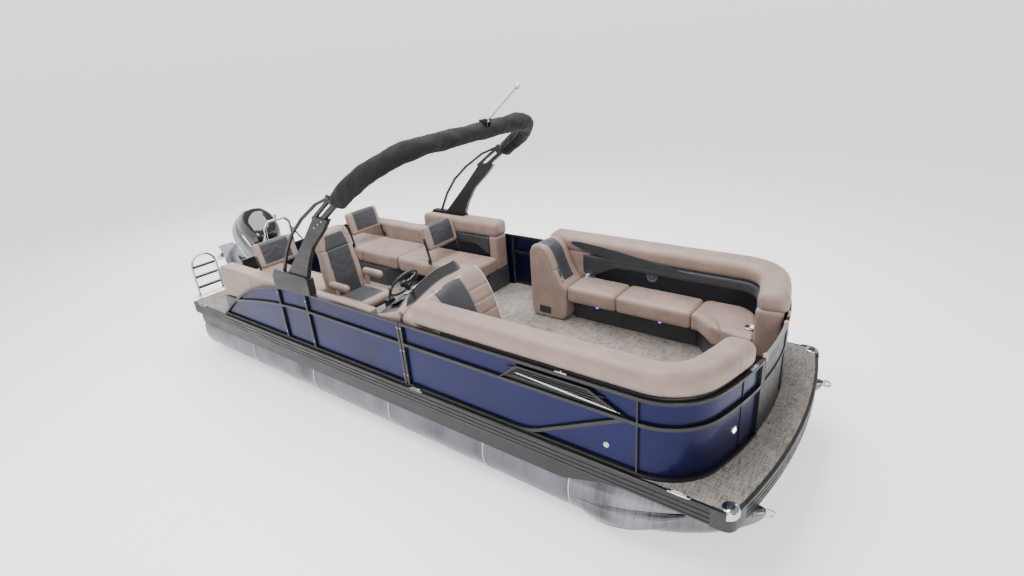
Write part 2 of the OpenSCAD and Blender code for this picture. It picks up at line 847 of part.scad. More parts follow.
module steering_wheel() {
    rim = 15;
    r = wheel_d / 2 - rim;
    color("#24272a") on_boat() at_wheel() {
        translate([0, 0, 150]) rotate_extrude($fn = 64) translate([r, 0]) circle(r = rim, $fn = 24);
        translate([0, 0, 125]) cylinder(r = 45, h = 35, $fn = fine);
        translate([0, 0, 36]) cylinder(r = 22, h = 90, $fn = fine);
        for (a = [90, 210, 330]) rotate([0, 0, a])
            translate([30, -12, 140]) cube([r - 30, 24, 8]);
    }
}
module throttle() {
    color("#24272a") on_boat() translate([console_x0 - 62, wheel_y - 330, 600]) {
        cube([60, 90, 85]);
        translate([25, 45, 80]) rotate([0, 20, 0]) cylinder(r = 9, h = 120, $fn = 24);
        translate([66, 45, 190]) sphere(r = 22, $fn = 32);
    }
}

module helm_pedestal() {
    color("gainsboro") on_boat() translate([chair_x, chair_y, 0]) {
        cylinder(r = 190, h = 14, $fn = 64);
        cylinder(r = 62, h = seat_base_z - play, $fn = fine);
        cylinder(r = 24, h = seat_base_z + 40, $fn = fine);
    }
}
module helm_seat() {
    half = chair_w / 2;
    color("#b3a299") on_boat() translate([chair_x, chair_y, 0]) {
        difference() {
            translate([-230, -half + 40, seat_base_z]) cube([460, 2 * half - 80, 45]);
            translate([0, 0, seat_base_z - 1]) cylinder(r = 24.5, h = 43, $fn = fine);
        }
        translate([-200, -half + 30, seat_base_z + 44]) cube([450, 2 * half - 60, 95]);
        for (s = [-1, 1]) {
            translate([-210, s * (half - 22) - 22, seat_base_z + 20]) cube([60, 44, 290]);
            translate([-230, s * (half - 22) - 30, seat_base_z + 250]) cube([320, 60, 70]);
        }
    }
}
module helm_back() {
    half = chair_w / 2;
    color("#4b4d52") on_boat() translate([chair_x - 205, chair_y, seat_base_z + 60])
        rotate([0, -11, 0]) translate([-125, -half + 48, 0])
            cube([120, 2 * half - 96, chair_h - seat_base_z - 60]);
}

// ---------- arch ----------

// Side outline of the arch's flat leg
module arch_leg_outline() {
    polygon([
        [arch_foot_x0 + 300, 880], [arch_foot_x0 + 630, 880], [arch_foot_x0 + 700, 1030],
        [arch_foot_x0 + 840, 1240], [arch_foot_x0 + 1070, 1440], [arch_foot_x0 + 1180, 1560],
        [arch_foot_x0 + 1010, 1570], [arch_foot_x0 + 940, 1540], [arch_foot_x0 + 660, 1240]
    ]);
}
// Flat bar along points of the side view, drawn at inset from the fence's face
module arch_bar(pts, w, inset, depth) {
    side_wall(inset, depth) strip(pts, w);
}
module arch_side() {
    x = arch_foot_x0;
    t = arch_tube_d;
    // Foot on the fence's top rail
    side_wall(-24, 84) polygon([
        [x, fence_h + play], [x + 640, fence_h + play], [x + 640, 860], [x + 600, 882],
        [x + 60, 882], [x, 800]
    ]);
    side_wall(-8, 52) arch_leg_outline();
    // Second bar beside the hoop, and the block that joins their heads
    arch_bar([along_hoop(-160, 75), along_hoop(260, 75)], t * 0.7, 4, t - 8);
    arch_bar([along_hoop(235, -20), along_hoop(235, 90)], 50, 2, t - 4);
    // Thin aft strut
    arch_bar([[x + 190, 870], [x + 330, 1120], [x + 500, 1330], [x + 720, 1510],
        [x + 1010, 1690], along_hoop(250, 85)], 26, 8, 26);
}
// Point of the side view, by its distance along the hoop's rake and its distance aft of it
function along_hoop(t, aft) = [
    hoop_x0 + t * cos(hoop_rake) - aft * sin(hoop_rake),
    hoop_z0 + t * sin(hoop_rake) + aft * cos(hoop_rake)
];
// Frame of the raked hoop: X across, Y up along the rake, Z forward and down
module on_hoop() {
    translate([hoop_x0, 0, hoop_z0]) rotate([0, 90 - hoop_rake, 0]) rotate([90, 0, 90]) children();
}
module hoop_outline(grow, foot) {
    side = hoop_half + grow;
    translate([-side, foot]) square([2 * side, hoop_len - hoop_r - foot]);
    translate([-hoop_half + hoop_r, foot])
        square([2 * (hoop_half - hoop_r), hoop_len + grow - foot]);
    for (s = [-1, 1]) translate([s * (hoop_half - hoop_r), hoop_len - hoop_r]) intersection() {
        circle(r = hoop_r + grow, $fn = bend);
        translate([-2 * hoop_r, 0]) square([4 * hoop_r, 2 * hoop_r]);
    }
}
module hoop(w) {
    linear_extrude(w, center = true) difference() {
        hoop_outline(w / 2, -60);
        hoop_outline(-w / 2, -61);
    }
}
module arch() {
    color("#2a2c2b") on_boat() {
        for (s = [-1, 1]) on_side(s) arch_side();
        on_hoop() hoop(arch_tube_d);
        mast_foot();
    }
}
// Lugs on the crossbar that the light mast folds between
module mast_foot() {
    translate([hoop_x1 - 20, mast_y - 34, hoop_z1]) cube([40, 68, 60]);
    for (s = [-1, 1]) translate([hoop_x1 - 20, mast_y + s * 27 - 7, hoop_z1 + 40])
        difference() {
            cube([mast_x - hoop_x1 + 40, 14, mast_z - hoop_z1 - 22]);
            translate([mast_x - hoop_x1 + 20, -1, mast_z - hoop_z1 - 40]) rotate([-90, 0, 0])
                cylinder(r = mast_pin_r + 0.3, h = 16, $fn = fine);
        }
}
// Rolled canvas top in its boot, round the hoop's head
module arch_boot() {
    color("#202224") on_boat() difference() {
        on_hoop() {
            translate([-hoop_half + hoop_r, hoop_len, 0]) rotate([0, 90, 0])
                cylinder(r = boot_d / 2, h = 2 * (hoop_half - hoop_r), $fn = fine);
            for (s = [0, 1]) mirror([s, 0, 0]) {
                translate([hoop_half - hoop_r, hoop_len - hoop_r, 0])
                    rotate_extrude(angle = 90, $fn = 96)
                    translate([hoop_r, 0]) circle(r = boot_d / 2, $fn = fine);
                translate([hoop_half, boot_foot, 0]) rotate([-90, 0, 0])
                    cylinder(r = boot_d / 2, h = hoop_len - hoop_r - boot_foot, $fn = fine);
            }
        }
        on_hoop() hoop(arch_tube_d + 1);
        translate([mast_x - 95, mast_y - 40, hoop_z1]) cube([195, 80, 200]);
    }
}
module light_mast() {
    color("gainsboro") on_boat() {
        rod([mast_x, mast_y, mast_z], [mast_x + 380, mast_y, mast_z + 310], 9);
        translate([mast_x + 390, mast_y, mast_z + 318]) sphere(r = 26, $fn = 32);
        translate([mast_x, mast_y + 14, mast_z]) rotate([90, 0, 0])
            cylinder(r = 16, h = 28, $fn = fine);
        translate([mast_x, mast_y + 34, mast_z]) rotate([90, 0, 0])
            cylinder(r = mast_pin_r, h = 68, $fn = fine);
    }
}

// ---------- stern gear ----------

module tow_bar() {
    x = tow_x;
    r = 19;
    color("gainsboro") on_boat() {
        bent_bar([[x, -200, 0], [x, -200, 760], [x, -130, 835], [x, 130, 835], [x, 200, 760],
            [x, 200, 0]], r);
        for (s = [-1, 1]) {
            rod([x, s * 200, 700], [x + 90, s * 560, 7], 13);
            translate([x + 90, s * 560, 0]) cylinder(r = 34, h = 8, $fn = fine);
            translate([x, s * 200, 0]) cylinder(r = 42, h = 8, $fn = fine);
        }
        translate([x, 0, 835]) cylinder(r = tow_knob_r * 0.6, h = 60, $fn = fine);
        translate([x, 0, 890]) cylinder(r = tow_knob_r, h = 22, $fn = fine);
    }
}
module ladder_bracket() {
    color("gainsboro") on_boat() for (y = [ladder_y - 36, ladder_y + ladder_w + 24])
        difference() {
            translate([ladder_x - 20, y, 0]) cube([120, 12, 52]);
            translate([ladder_x, y - 1, ladder_z]) rotate([-90, 0, 0])
                cylinder(r = 8.5, h = 14, $fn = fine);
        }
}
module ladder() {
    half = ladder_w / 2;
    straight = 560 - half;
    color("gainsboro") on_boat() translate([ladder_x, ladder_y + half, ladder_z]) {
        for (s = [-1, 1]) translate([0, s * half, 0]) cylinder(r = 14, h = straight, $fn = fine);
        translate([0, 0, straight]) rotate([90, 0, 90]) rotate_extrude(angle = 180, $fn = 96)
            translate([half, 0]) circle(r = 14, $fn = fine);
        for (z = [100, 250, 390]) translate([-36, -half, z]) cube([44, ladder_w, 22]);
        translate([0, -half - 38, 0]) rotate([-90, 0, 0])
            cylinder(r = 8, h = ladder_w + 76, $fn = fine);
    }
}

// ---------- engine ----------

// Engine's own frame: tilt tube at the origin, tilted up
module tilted() {
    translate([tilt_x, 0, tilt_z]) rotate([0, tilt_up, 0]) children();
}
module clamp_bracket() {
    color("#2b2d2f") on_boat() translate([tilt_x, 0, tilt_z]) {
        for (s = [-1, 1]) on_side(s) translate([0, 165, 0]) rotate([90, 0, 0])
            linear_extrude(40) difference() {
                union() {
                    circle(r = 48, $fn = fine);
                    polygon([[-40, 30], [30, 25], [150, 0], [170, -50], [54, -50],
                        [54, -330], [10, -350], [-45, -40]]);
                }
                circle(r = 21, $fn = fine);
            }
        translate([0, 175, 0]) rotate([90, 0, 0]) cylinder(r = 20.9, h = 350, $fn = fine);
    }
}
module swivel_bracket() {
    color("#2b2d2f") on_boat() tilted() difference() {
        union() {
            translate([0, 118, 0]) rotate([90, 0, 0]) cylinder(r = 44, h = 236, $fn = fine);
            translate([steer_x, 0, -300]) cylinder(r = 44, h = 360, $fn = fine);
            translate([steer_x, -45, -120]) cube([-steer_x, 90, 150]);
        }
        translate([0, 200, 0]) rotate([90, 0, 0]) cylinder(r = 21.2, h = 400, $fn = fine);
        translate([steer_x, 0, -310]) cylinder(r = 25, h = 400, $fn = fine);
    }
}
module engine_leg() {
    color("#8f9296") on_boat() tilted() {
        // Pivot shaft and the yokes above and below the swivel bracket
        translate([steer_x, 0, -330]) cylinder(r = 24.8, h = 420, $fn = fine);
        translate([steer_x - 220, -70, 66]) cube([280, 140, 45]);
        translate([steer_x - 220, -70, -370]) cube([280, 140, 60]);
        // Midsection
        hull() for (x = [steer_x - 360, steer_x - 145]) {
            translate([x, 0, 110]) cylinder(r = 90, h = 1, $fn = 32);
            translate([x, 0, -shaft_len]) cylinder(r = 48, h = 1, $fn = 32);
        }
        // Plate over the propeller
        translate([steer_x - 560, -130, -shaft_len - 12]) cube([480, 260, 12]);
        hull() for (x = [steer_x - 370, steer_x - 110]) {
            translate([x, 0, -shaft_len - 10]) cylinder(r = 46, h = 1, $fn = 32);
            translate([x + 20, 0, prop_z]) cylinder(r = 18, h = 1, $fn = 32);
        }
        // Gearcase torpedo and skeg
        translate([steer_x - 400, 0, prop_z]) rotate([0, 90, 0])
            cylinder(r = 58, h = 330, $fn = fine);
        hull() {
            translate([steer_x - 71, 0, prop_z]) rotate([0, 90, 0])
                cylinder(r = 58, h = 1, $fn = 32);
            translate([steer_x + 60, 0, prop_z - 6]) sphere(r = 8, $fn = 16);
        }
        translate([steer_x, 6, prop_z]) rotate([90, 0, 0]) linear_extrude(12)
            polygon([[-60, -40], [-170, -210], [-250, -210], [-330, -40]]);
    }
}
module engine_cowl() {
    x0 = steer_x + 190 - cowl_len;
    color("#1c1e22") on_boat() tilted() hull() {
        for (s = [-1, 1]) {
            translate([x0 + 190, s * (cowl_w / 2 - 190), 112]) cylinder(r = 130, h = 10, $fn = 32);
            translate([x0 + cowl_len - 170, s * (cowl_w / 2 - 170), 112])
                cylinder(r = 130, h = 10, $fn = 32);
            translate([x0 + 170, s * (cowl_w / 2 - 150), 350]) cylinder(r = 150, h = 10, $fn = 32);
            translate([x0 + cowl_len - 160, s * (cowl_w / 2 - 150), 350])
                cylinder(r = 150, h = 10, $fn = 32);
            translate([x0 + 240, s * (cowl_w / 2 - 200), 112 + cowl_h - 140])
                cylinder(r = 120, h = 20, $fn = 32);
            translate([x0 + cowl_len - 220, s * (cowl_w / 2 - 190), 112 + cowl_h - 20])
                cylinder(r = 110, h = 20, $fn = 32);
        }
    }
}
module propeller() {
    hub_len = 110;
    color("gainsboro") on_boat() tilted() translate([steer_x - 403, 0, prop_z])
        rotate([0, -90, 0]) {
            cylinder(r = 52, h = hub_len, $fn = fine);
            for (a = [0 : 120 : 359]) rotate([0, 0, a]) translate([0, 0, hub_len / 2])
                rotate([32, 0, 0]) intersection() {
                    translate([48, -70, -5]) cube([prop_d / 2, 140, 10]);
                    translate([prop_d / 4 + 20, 0, -10]) cylinder(r = prop_d / 4 - 22, h = 20,
                        $fn = fine);
                }
        }
}

pontoon_starboard();
pontoon_port();
cross_members();
motor_pod();
deck();
rub_rail();
corner_caps();
side_skirts();
bow_eyes();
cleats();
starboard_aft_frame();
starboard_bow_frame();
port_aft_frame();
port_bow_frame();
starboard_aft_panel();
starboard_bow_panel();
port_aft_panel();
port_bow_panel();
stern_fence();
bow_gate();
port_gate();
stern_gate();
starboard_bow_base();
port_bow_base();
starboard_bow_backrest();
port_bow_backrest();
starboard_bow_seat();
port_bow_seat();
starboard_bow_lid();
port_bow_lid();
port_chaise();
console();
console_chaise();
windscreen();
steering_wheel();
throttle();
helm_pedestal();
helm_seat();
helm_back();
stern_bases();
starboard_stern_pads();
port_stern_pads();
starboard_coaming();
port_coaming();
starboard_flip_back();
port_flip_back();
mid_flip_back();
flip_lugs();
arch();
arch_boot();
light_mast();
tow_bar();
ladder_bracket();
ladder();
clamp_bracket();
swivel_bracket();
engine_leg();
engine_cowl();
propeller();
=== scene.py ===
"""Looks of a pontoon boat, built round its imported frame.

Shapes are worked out in the deck's own frame, in metres: x from the deck's stern edge to the bow, y to port and
z up from the deck's top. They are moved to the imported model's frame as their meshes are made.
"""

import json
import logging
import math
from collections.abc import Callable, Sequence
from dataclasses import dataclass, field
from enum import Enum

import bmesh
import bpy
import numpy as np
from mathutils import Matrix, Vector

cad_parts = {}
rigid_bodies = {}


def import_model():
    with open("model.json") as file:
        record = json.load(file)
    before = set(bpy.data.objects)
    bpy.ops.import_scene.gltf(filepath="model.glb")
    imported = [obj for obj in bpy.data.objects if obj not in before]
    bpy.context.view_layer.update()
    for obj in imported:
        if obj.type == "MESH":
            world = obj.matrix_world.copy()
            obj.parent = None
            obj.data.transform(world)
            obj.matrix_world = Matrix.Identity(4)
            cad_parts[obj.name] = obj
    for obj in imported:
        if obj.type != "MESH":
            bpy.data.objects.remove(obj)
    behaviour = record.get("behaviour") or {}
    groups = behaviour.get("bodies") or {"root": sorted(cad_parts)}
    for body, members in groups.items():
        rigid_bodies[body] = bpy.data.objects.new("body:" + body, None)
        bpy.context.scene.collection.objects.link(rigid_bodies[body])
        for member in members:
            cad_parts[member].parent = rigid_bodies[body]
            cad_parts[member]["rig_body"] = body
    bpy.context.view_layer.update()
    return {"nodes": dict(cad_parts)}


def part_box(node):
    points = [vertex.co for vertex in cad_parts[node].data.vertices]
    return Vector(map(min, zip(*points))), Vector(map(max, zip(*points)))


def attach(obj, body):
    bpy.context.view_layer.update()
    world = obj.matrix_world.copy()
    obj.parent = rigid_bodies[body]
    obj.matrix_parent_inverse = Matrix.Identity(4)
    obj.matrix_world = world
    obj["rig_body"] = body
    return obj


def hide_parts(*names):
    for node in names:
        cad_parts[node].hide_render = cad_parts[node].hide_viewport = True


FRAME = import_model()
LOG = logging.getLogger("pontoon")

MM = 0.001
RUB_RAIL_INSET = 4 * MM
# Where the deck frame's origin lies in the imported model's frame
DATUM = np.array([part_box("rub_rail")[0].x - RUB_RAIL_INSET, 0.0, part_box("deck")[1].z])

Array = np.ndarray
Tree, Node, Socket = bpy.types.NodeTree, bpy.types.Node, bpy.types.NodeSocket


class Side(Enum):
    """The boat's two sides, as the sign of y."""

    PORT = 1
    STARBOARD = -1

    @property
    def word(self) -> str:
        """The side's name as it stands in node and piece names."""
        return self.name.lower()


# ---------------------------------------------------------------- shader helpers


def linear(code: str, alpha: float = 1.0) -> tuple[float, float, float, float]:
    """Turns an sRGB hex colour to the linear one that shaders take.

    Args:
        code: colour such as "#aabbcc".
        alpha: the fourth channel.

    Returns:
        Linear red, green, blue and alpha.
    """
    channels = np.array([int(code[i : i + 2], 16) for i in (1, 3, 5)]) / 255
    bent = np.where(channels <= 0.04045, channels / 12.92, ((channels + 0.055) / 1.055) ** 2.4)
    return (*map(float, bent), alpha)


def add(tree: Tree, kind: str, sockets: dict | None = None, **settings: object) -> Node:
    """Adds one shader node with its settings, values and links.

    Args:
        tree: the material's node tree.
        kind: node type after "ShaderNode".
        sockets: value or output socket for each input, by name or index.
        settings: the node's own properties.

    Returns:
        The new node.
    """
    node = tree.nodes.new("ShaderNode" + kind)
    for key, value in settings.items():
        setattr(node, key, value)
    for key, value in (sockets or {}).items():
        if isinstance(value, Socket):
            tree.links.new(value, node.inputs[key])
        else:
            node.inputs[key].default_value = value
    return node


# Input and output places of a Mix node that mixes colours
MIX_FACTOR, MIX_A, MIX_B, MIX_COLOUR = 0, 6, 7, 2


@dataclass(frozen=True)
class Finish:
    """A plain surface, and the base of all the others.

    The base carries what a shader takes directly; a subclass draws its pattern in millimetres on Object coordinates.
    """

    name: str
    base: str
    rough: float = 0.5
    metallic: float = 0.0
    coat: float = 0.0
    coat_rough: float = 0.05
    sheen: float = 0.0
    slot: str = ""

    def material(self) -> bpy.types.Material:
        """Returns the finish's material, made at the first call."""
        made = bpy.data.materials.get(self.name)
        if made:
            return made
        made = bpy.data.materials.new(self.name)
        made.use_nodes = True
        made.diffuse_color = linear(self.base)
        tree = made.node_tree
        shader = tree.nodes["Principled BSDF"]
        for key, value in (
            ("Base Color", linear(self.base)),
            ("Roughness", self.rough),
            ("Metallic", self.metallic),
            ("Coat Weight", self.coat),
            ("Coat Roughness", self.coat_rough),
            ("Sheen Weight", self.sheen),
        ):
            shader.inputs[key].default_value = value
        place = add(tree, "TexCoord").outputs["Object"]
        self.pattern(tree, shader, place)
        return made

    def pattern(self, tree: Tree, shader: Node, place: Socket) -> None:
        """Draws the finish's pattern. The plain one varies the roughness a little, as handling does.

        Args:
            tree: the material's node tree.
            shader: its Principled node.
            place: Object coordinates in metres.
        """
        blotch = add(tree, "TexNoise", {"Vector": place, "Scale": 22.0, "Detail": 3.0})
        vary_rough(tree, shader, blotch.outputs["Fac"], self.rough, 0.12)


def scaled(tree: Tree, place: Socket, mm: tuple[float, float, float]) -> Socket:
    """Scales coordinates so that one unit is as many millimetres as given along each axis.

    Args:
        tree: node tree.
        place: coordinates in metres.
        mm: size of one unit along x, y and z.

    Returns:
        The scaled coordinates.
    """
    scale = tuple(1 / (size * MM) for size in mm)
    return add(tree, "Mapping", {"Vector": place, "Scale": scale}).outputs["Vector"]


def vary_rough(tree: Tree, shader: Node, factor: Socket, middle: float, spread: float) -> None:
    """Lets a pattern move the roughness about its middle, from a spread below to a spread above."""
    span = add(
        tree,
        "MapRange",
        {
            "Value": factor, "From Min": 0.3, "From Max": 0.7, "To Min": middle * (1 - spread),
            "To Max": middle * (1 + spread)
        },
    )
    tree.links.new(span.outputs["Result"], shader.inputs["Roughness"])


def two_tone(tree: Tree, shader: Node, factor: Socket, dark: str, light: str) -> Socket:
    """Mixes two colours by a pattern into the base colour, and returns the mixed colour's socket."""
    mix = add(
        tree,
        "Mix",
        {MIX_FACTOR: factor, MIX_A: linear(dark), MIX_B: linear(light)},
        data_type="RGBA",
    )
    tree.links.new(mix.outputs[MIX_COLOUR], shader.inputs["Base Color"])
    return mix.outputs[MIX_COLOUR]


def spread(tree: Tree, factor: Socket, low: float, high: float) -> Socket:
    """Stretches a pattern's range low to high over 0 to 1."""
    return add(tree, "MapRange", {"Value": factor, "From Min": low, "From Max": high}).outputs["Result"]


def emboss(tree: Tree, shader: Node, height: Socket, depth_mm: float, strength: float = 1.0) -> None:
    """Raises the surface by a height pattern of 0 to 1, as deep as given in millimetres."""
    bump = add(tree, "Bump", {"Height": height, "Distance": depth_mm * MM, "Strength": strength})
    tree.links.new(bump.outputs["Normal"], shader.inputs["Normal"])


def shade_shift(code: str, factor: float) -> str:
    """Makes an sRGB hex colour lighter or darker by a factor."""
    parts = [min(255, round(int(code[i : i + 2], 16) * factor)) for i in (1, 3, 5)]
    return "#" + "".join(f"{part:02x}" for part in parts)


# ---------------------------------------------------------------- finishes


@dataclass(frozen=True)
class MarineVinyl(Finish):
    """Embossed upholstery vinyl: a soft leather grain with a dull gloss and faint mottling.

    The real grain is near 1 mm, drawn at 5 mm so that it shows.
    """

    grain_mm: float = 5.0
    grain_depth_mm: float = 0.5
    mottle: float = 0.05

    def pattern(self, tree: Tree, shader: Node, place: Socket) -> None:
        """Draws pebbled grain from cell edges, and large soft mottling."""
        cells = add(
            tree,
            "TexVoronoi",
            {"Vector": scaled(tree, place, (self.grain_mm,) * 3), "Scale": 1.0, "Randomness": 1.0},
            feature="SMOOTH_F1",
        )
        crease = add(
            tree, "TexNoise", {"Vector": scaled(tree, place, (34, 34, 34)), "Scale": 1.0, "Detail": 5.0}
        )
        relief = add(tree, "Math", {0: cells.outputs["Distance"], 1: crease.outputs["Fac"]}, operation="ADD")
        emboss(tree, shader, relief.outputs[0], self.grain_depth_mm, 0.55)
        mottling = add(
            tree, "TexNoise", {"Vector": scaled(tree, place, (180, 180, 180)), "Scale": 1.0, "Detail": 6.0}
        )
        factor = spread(tree, mottling.outputs["Fac"], 0.35, 0.65)
        two_tone(
            tree, shader, factor, shade_shift(self.base, 1 - self.mottle),
            shade_shift(self.base, 1 + self.mottle)
        )
        vary_rough(tree, shader, crease.outputs["Fac"], self.rough, 0.18)


@dataclass(frozen=True)
class WovenFloor(Finish):
    """Woven vinyl flooring: flat plastic yarns crossing fore-and-aft and athwart, light and dark by turns.

    Yarns are drawn 9 mm wide in dashes of about 110 mm, coarser than the real 3 mm, so that they show.
    """

    yarn_mm: float = 9.0
    dash_mm: float = 110.0
    dark: str = "#5c5651"
    light: str = "#9b938c"

    def pattern(self, tree: Tree, shader: Node, place: Socket) -> None:
        """Draws dashes along x and along y, the darker of the two winning, with a woven relief."""
        along = scaled(tree, place, (self.dash_mm, self.yarn_mm, 400))
        athwart = scaled(tree, place, (self.yarn_mm, self.dash_mm, 400))
        warp = add(tree, "TexNoise", {"Vector": along, "Scale": 1.0, "Detail": 2.0, "Roughness": 0.6})
        weft = add(tree, "TexNoise", {"Vector": athwart, "Scale": 1.0, "Detail": 2.0, "Roughness": 0.6})
        cross = add(tree, "Math", {0: warp.outputs["Fac"], 1: weft.outputs["Fac"]}, operation="ADD")
        both = add(tree, "Math", {0: cross.outputs[0], 1: 0.5}, operation="MULTIPLY")
        cloud = add(
            tree, "TexNoise", {"Vector": scaled(tree, place, (320, 320, 320)), "Scale": 1.0, "Detail": 2.0}
        )
        toned = add(
            tree, "Math", {0: cloud.outputs["Fac"], 1: 0.14, 2: both.outputs[0]}, operation="MULTIPLY_ADD"
        )
        factor = spread(tree, toned.outputs[0], 0.47, 0.66)
        two_tone(tree, shader, factor, self.dark, self.light)
        weave = add(
            tree, "TexChecker", {
                "Vector": scaled(tree, place, (self.yarn_mm * 2, self.yarn_mm * 2, 400)), "Scale": 1.0
            }
        )
        relief = add(
            tree, "Math", {0: weave.outputs["Fac"], 1: 0.35, 2: both.outputs[0]}, operation="MULTIPLY_ADD"
        )
        emboss(tree, shader, relief.outputs[0], 1.2, 0.8)


@dataclass(frozen=True)
class RolledAluminium(Finish):
    """Mill-finished aluminium sheet rolled to a tube: fine hoops of brushing and wide soft bands of gloss."""

    hoop_mm: float = 3.0
    band_mm: float = 420.0

    def pattern(self, tree: Tree, shader: Node, place: Socket) -> None:
        """Draws streaks that run round the tube, and bands along it that change its gloss."""
        hoops = add(
            tree,
            "TexNoise",
            {
                "Vector": scaled(tree, place, (self.hoop_mm, 260, 260)), "Scale": 1.0, "Detail": 4.0,
                "Roughness": 0.7
            },
        )
        bands = add(
            tree, "TexNoise", {
                "Vector": scaled(tree, place, (self.band_mm, 1600, 1600)), "Scale": 1.0, "Detail": 4.0
            }
        )
        both = add(
            tree, "Math", {0: hoops.outputs["Fac"], 1: 0.45, 2: bands.outputs["Fac"]},
            operation="MULTIPLY_ADD"
        )
        vary_rough(tree, shader, spread(tree, both.outputs[0], 0.45, 1.0), self.rough, 0.45)
        factor = spread(tree, both.outputs[0], 0.45, 0.95)
        two_tone(tree, shader, factor, shade_shift(self.base, 0.55), shade_shift(self.base, 1.25))
        emboss(tree, shader, both.outputs[0], 0.35, 0.5)


@dataclass(frozen=True)
class FlakePaint(Finish):
    """Metallic car paint under clear coat: tiny aluminium flakes that sparkle at different tilts, their sparkle painted
    in as a lighter tone for each flake.

    Flakes are drawn at 2.5 mm, much coarser than the real 0.05 mm, so that they show.
    """

    flake_mm: float = 2.5
    # Colour of the flakes' painted glint
    light: str = "#15184a"

    def pattern(self, tree: Tree, shader: Node, place: Socket) -> None:
        """Draws one tone for each flake, a painted glint towards the light colour, with a random soft panel-wide change
        of depth.
        """
        flakes = add(
            tree,
            "TexVoronoi",
            {"Vector": scaled(tree, place, (self.flake_mm,) * 3), "Scale": 1.0, "Randomness": 1.0},
            feature="F1",
        )
        tint = add(tree, "SeparateColor", {"Color": flakes.outputs["Color"]})
        depth = add(
            tree, "TexNoise", {"Vector": scaled(tree, place, (700, 700, 500)), "Scale": 1.0, "Detail": 2.0}
        )
        both = add(
            tree, "Math", {0: tint.outputs[0], 1: 0.35, 2: depth.outputs["Fac"]}, operation="MULTIPLY_ADD"
        )
        # Flake tones are painted glints; the panel-wide change of depth is random tone
        two_tone(tree, shader, spread(tree, both.outputs[0], 0.3, 1.0), self.base, self.light)
        vary_rough(tree, shader, tint.outputs[1], self.rough, 0.25)


@dataclass(frozen=True)
class BrushedBar(Finish):
    """Anodised or powder-coated extrusion: faint die lines and a grain that catches the light along its edges."""

    grain_mm: float = 1.6

    def pattern(self, tree: Tree, shader: Node, place: Socket) -> None:
        """Draws fine orange-peel grain and long soft changes of gloss."""
        peel = add(
            tree, "TexNoise",
            {"Vector": scaled(tree, place, (self.grain_mm,) * 3), "Scale": 1.0, "Detail": 2.0}
        )
        long = add(
            tree, "TexNoise", {"Vector": scaled(tree, place, (300, 90, 60)), "Scale": 1.0, "Detail": 3.0}
        )
        vary_rough(tree, shader, long.outputs["Fac"], self.rough, 0.22)
        two_tone(
            tree,
            shader,
            spread(tree, long.outputs["Fac"], 0.35, 0.65),
            shade_shift(self.base, 0.88),
            shade_shift(self.base, 1.14),
        )
        emboss(tree, shader, peel.outputs["Fac"], 0.12, 0.5)


@dataclass(frozen=True)
class PolishedMetal(Finish):
    """Buffed stainless steel or chrome plate: mirror gloss with faint wiping marks."""

    def pattern(self, tree: Tree, shader: Node, place: Socket) -> None:
        """Draws wiping marks in the roughness alone."""
        marks = add(
            tree, "TexNoise", {"Vector": scaled(tree, place, (60, 12, 60)), "Scale": 1.0, "Detail": 4.0}
        )
        vary_rough(tree, shader, marks.outputs["Fac"], self.rough, 0.4)


@dataclass(frozen=True)
class Canvas(Finish):
    """Solution-dyed canvas: a plain weave of 4 mm here, coarser than the real 1 mm so that it shows."""

    thread_mm: float = 4.0

    def pattern(self, tree: Tree, shader: Node, place: Socket) -> None:
        """Draws crossing ribs of thread and folds, whose colour is painted shade in their hollows and painted highlight
        on their crests.
        """
        ribs = add(
            tree,
            "TexWave",
            {"Vector": scaled(tree, place, (self.thread_mm,) * 3), "Scale": 0.5, "Distortion": 0.6},
            bands_direction="Y",
        )
        fold = add(
            tree, "TexNoise", {"Vector": scaled(tree, place, (45, 160, 45)), "Scale": 1.0, "Detail": 5.0}
        )
        relief = add(
            tree, "Math", {0: ribs.outputs["Fac"], 1: 0.2, 2: fold.outputs["Fac"]}, operation="MULTIPLY_ADD"
        )
        emboss(tree, shader, relief.outputs[0], 3.0, 0.7)
        # Colour follows the fold relief: painted shade in the hollows, painted highlight on the crests
        two_tone(
            tree,
            shader,
            spread(tree, fold.outputs["Fac"], 0.35, 0.7),
            shade_shift(self.base, 0.75),
            shade_shift(self.base, 1.5),
        )
        vary_rough(tree, shader, fold.outputs["Fac"], self.rough, 0.08)


@dataclass(frozen=True)
class MouldedPlastic(Finish):
    """Injection-moulded ABS or polypropylene with a spark-eroded texture of about 2 mm."""

    grain_mm: float = 2.2

    def pattern(self, tree: Tree, shader: Node, place: Socket) -> None:
        """Draws the mould's fine texture."""
        texture = add(
            tree, "TexNoise",
            {"Vector": scaled(tree, place, (self.grain_mm,) * 3), "Scale": 1.0, "Detail": 3.0}
        )
        emboss(tree, shader, texture.outputs["Fac"], 0.25, 0.6)
        vary_rough(tree, shader, texture.outputs["Fac"], self.rough, 0.15)


@dataclass(frozen=True)
class TintedAcrylic(Finish):
    """Smoked acrylic sheet, half clear, with polished faces."""

    clear: float = 0.45

    def pattern(self, tree: Tree, shader: Node, place: Socket) -> None:
        """Sets its clearness, and dulls it by faint dust."""
        shader.inputs["Transmission Weight"].default_value = self.clear
        dust = add(
            tree, "TexNoise", {"Vector": scaled(tree, place, (40, 40, 40)), "Scale": 1.0, "Detail": 4.0}
        )
        vary_rough(tree, shader, dust.outputs["Fac"], self.rough, 0.5)


@dataclass(frozen=True)
class LampLens(Finish):
    """Lit diode behind a moulded lens."""

    glow: str = "#ffffff"
    power: float = 8.0

    def pattern(self, tree: Tree, shader: Node, place: Socket) -> None:
        """Lets the lens shine, with a faint mottle in its gloss."""
        shader.inputs["Emission Color"].default_value = linear(self.glow)
        shader.inputs["Emission Strength"].default_value = self.power
        super().pattern(tree, shader, place)


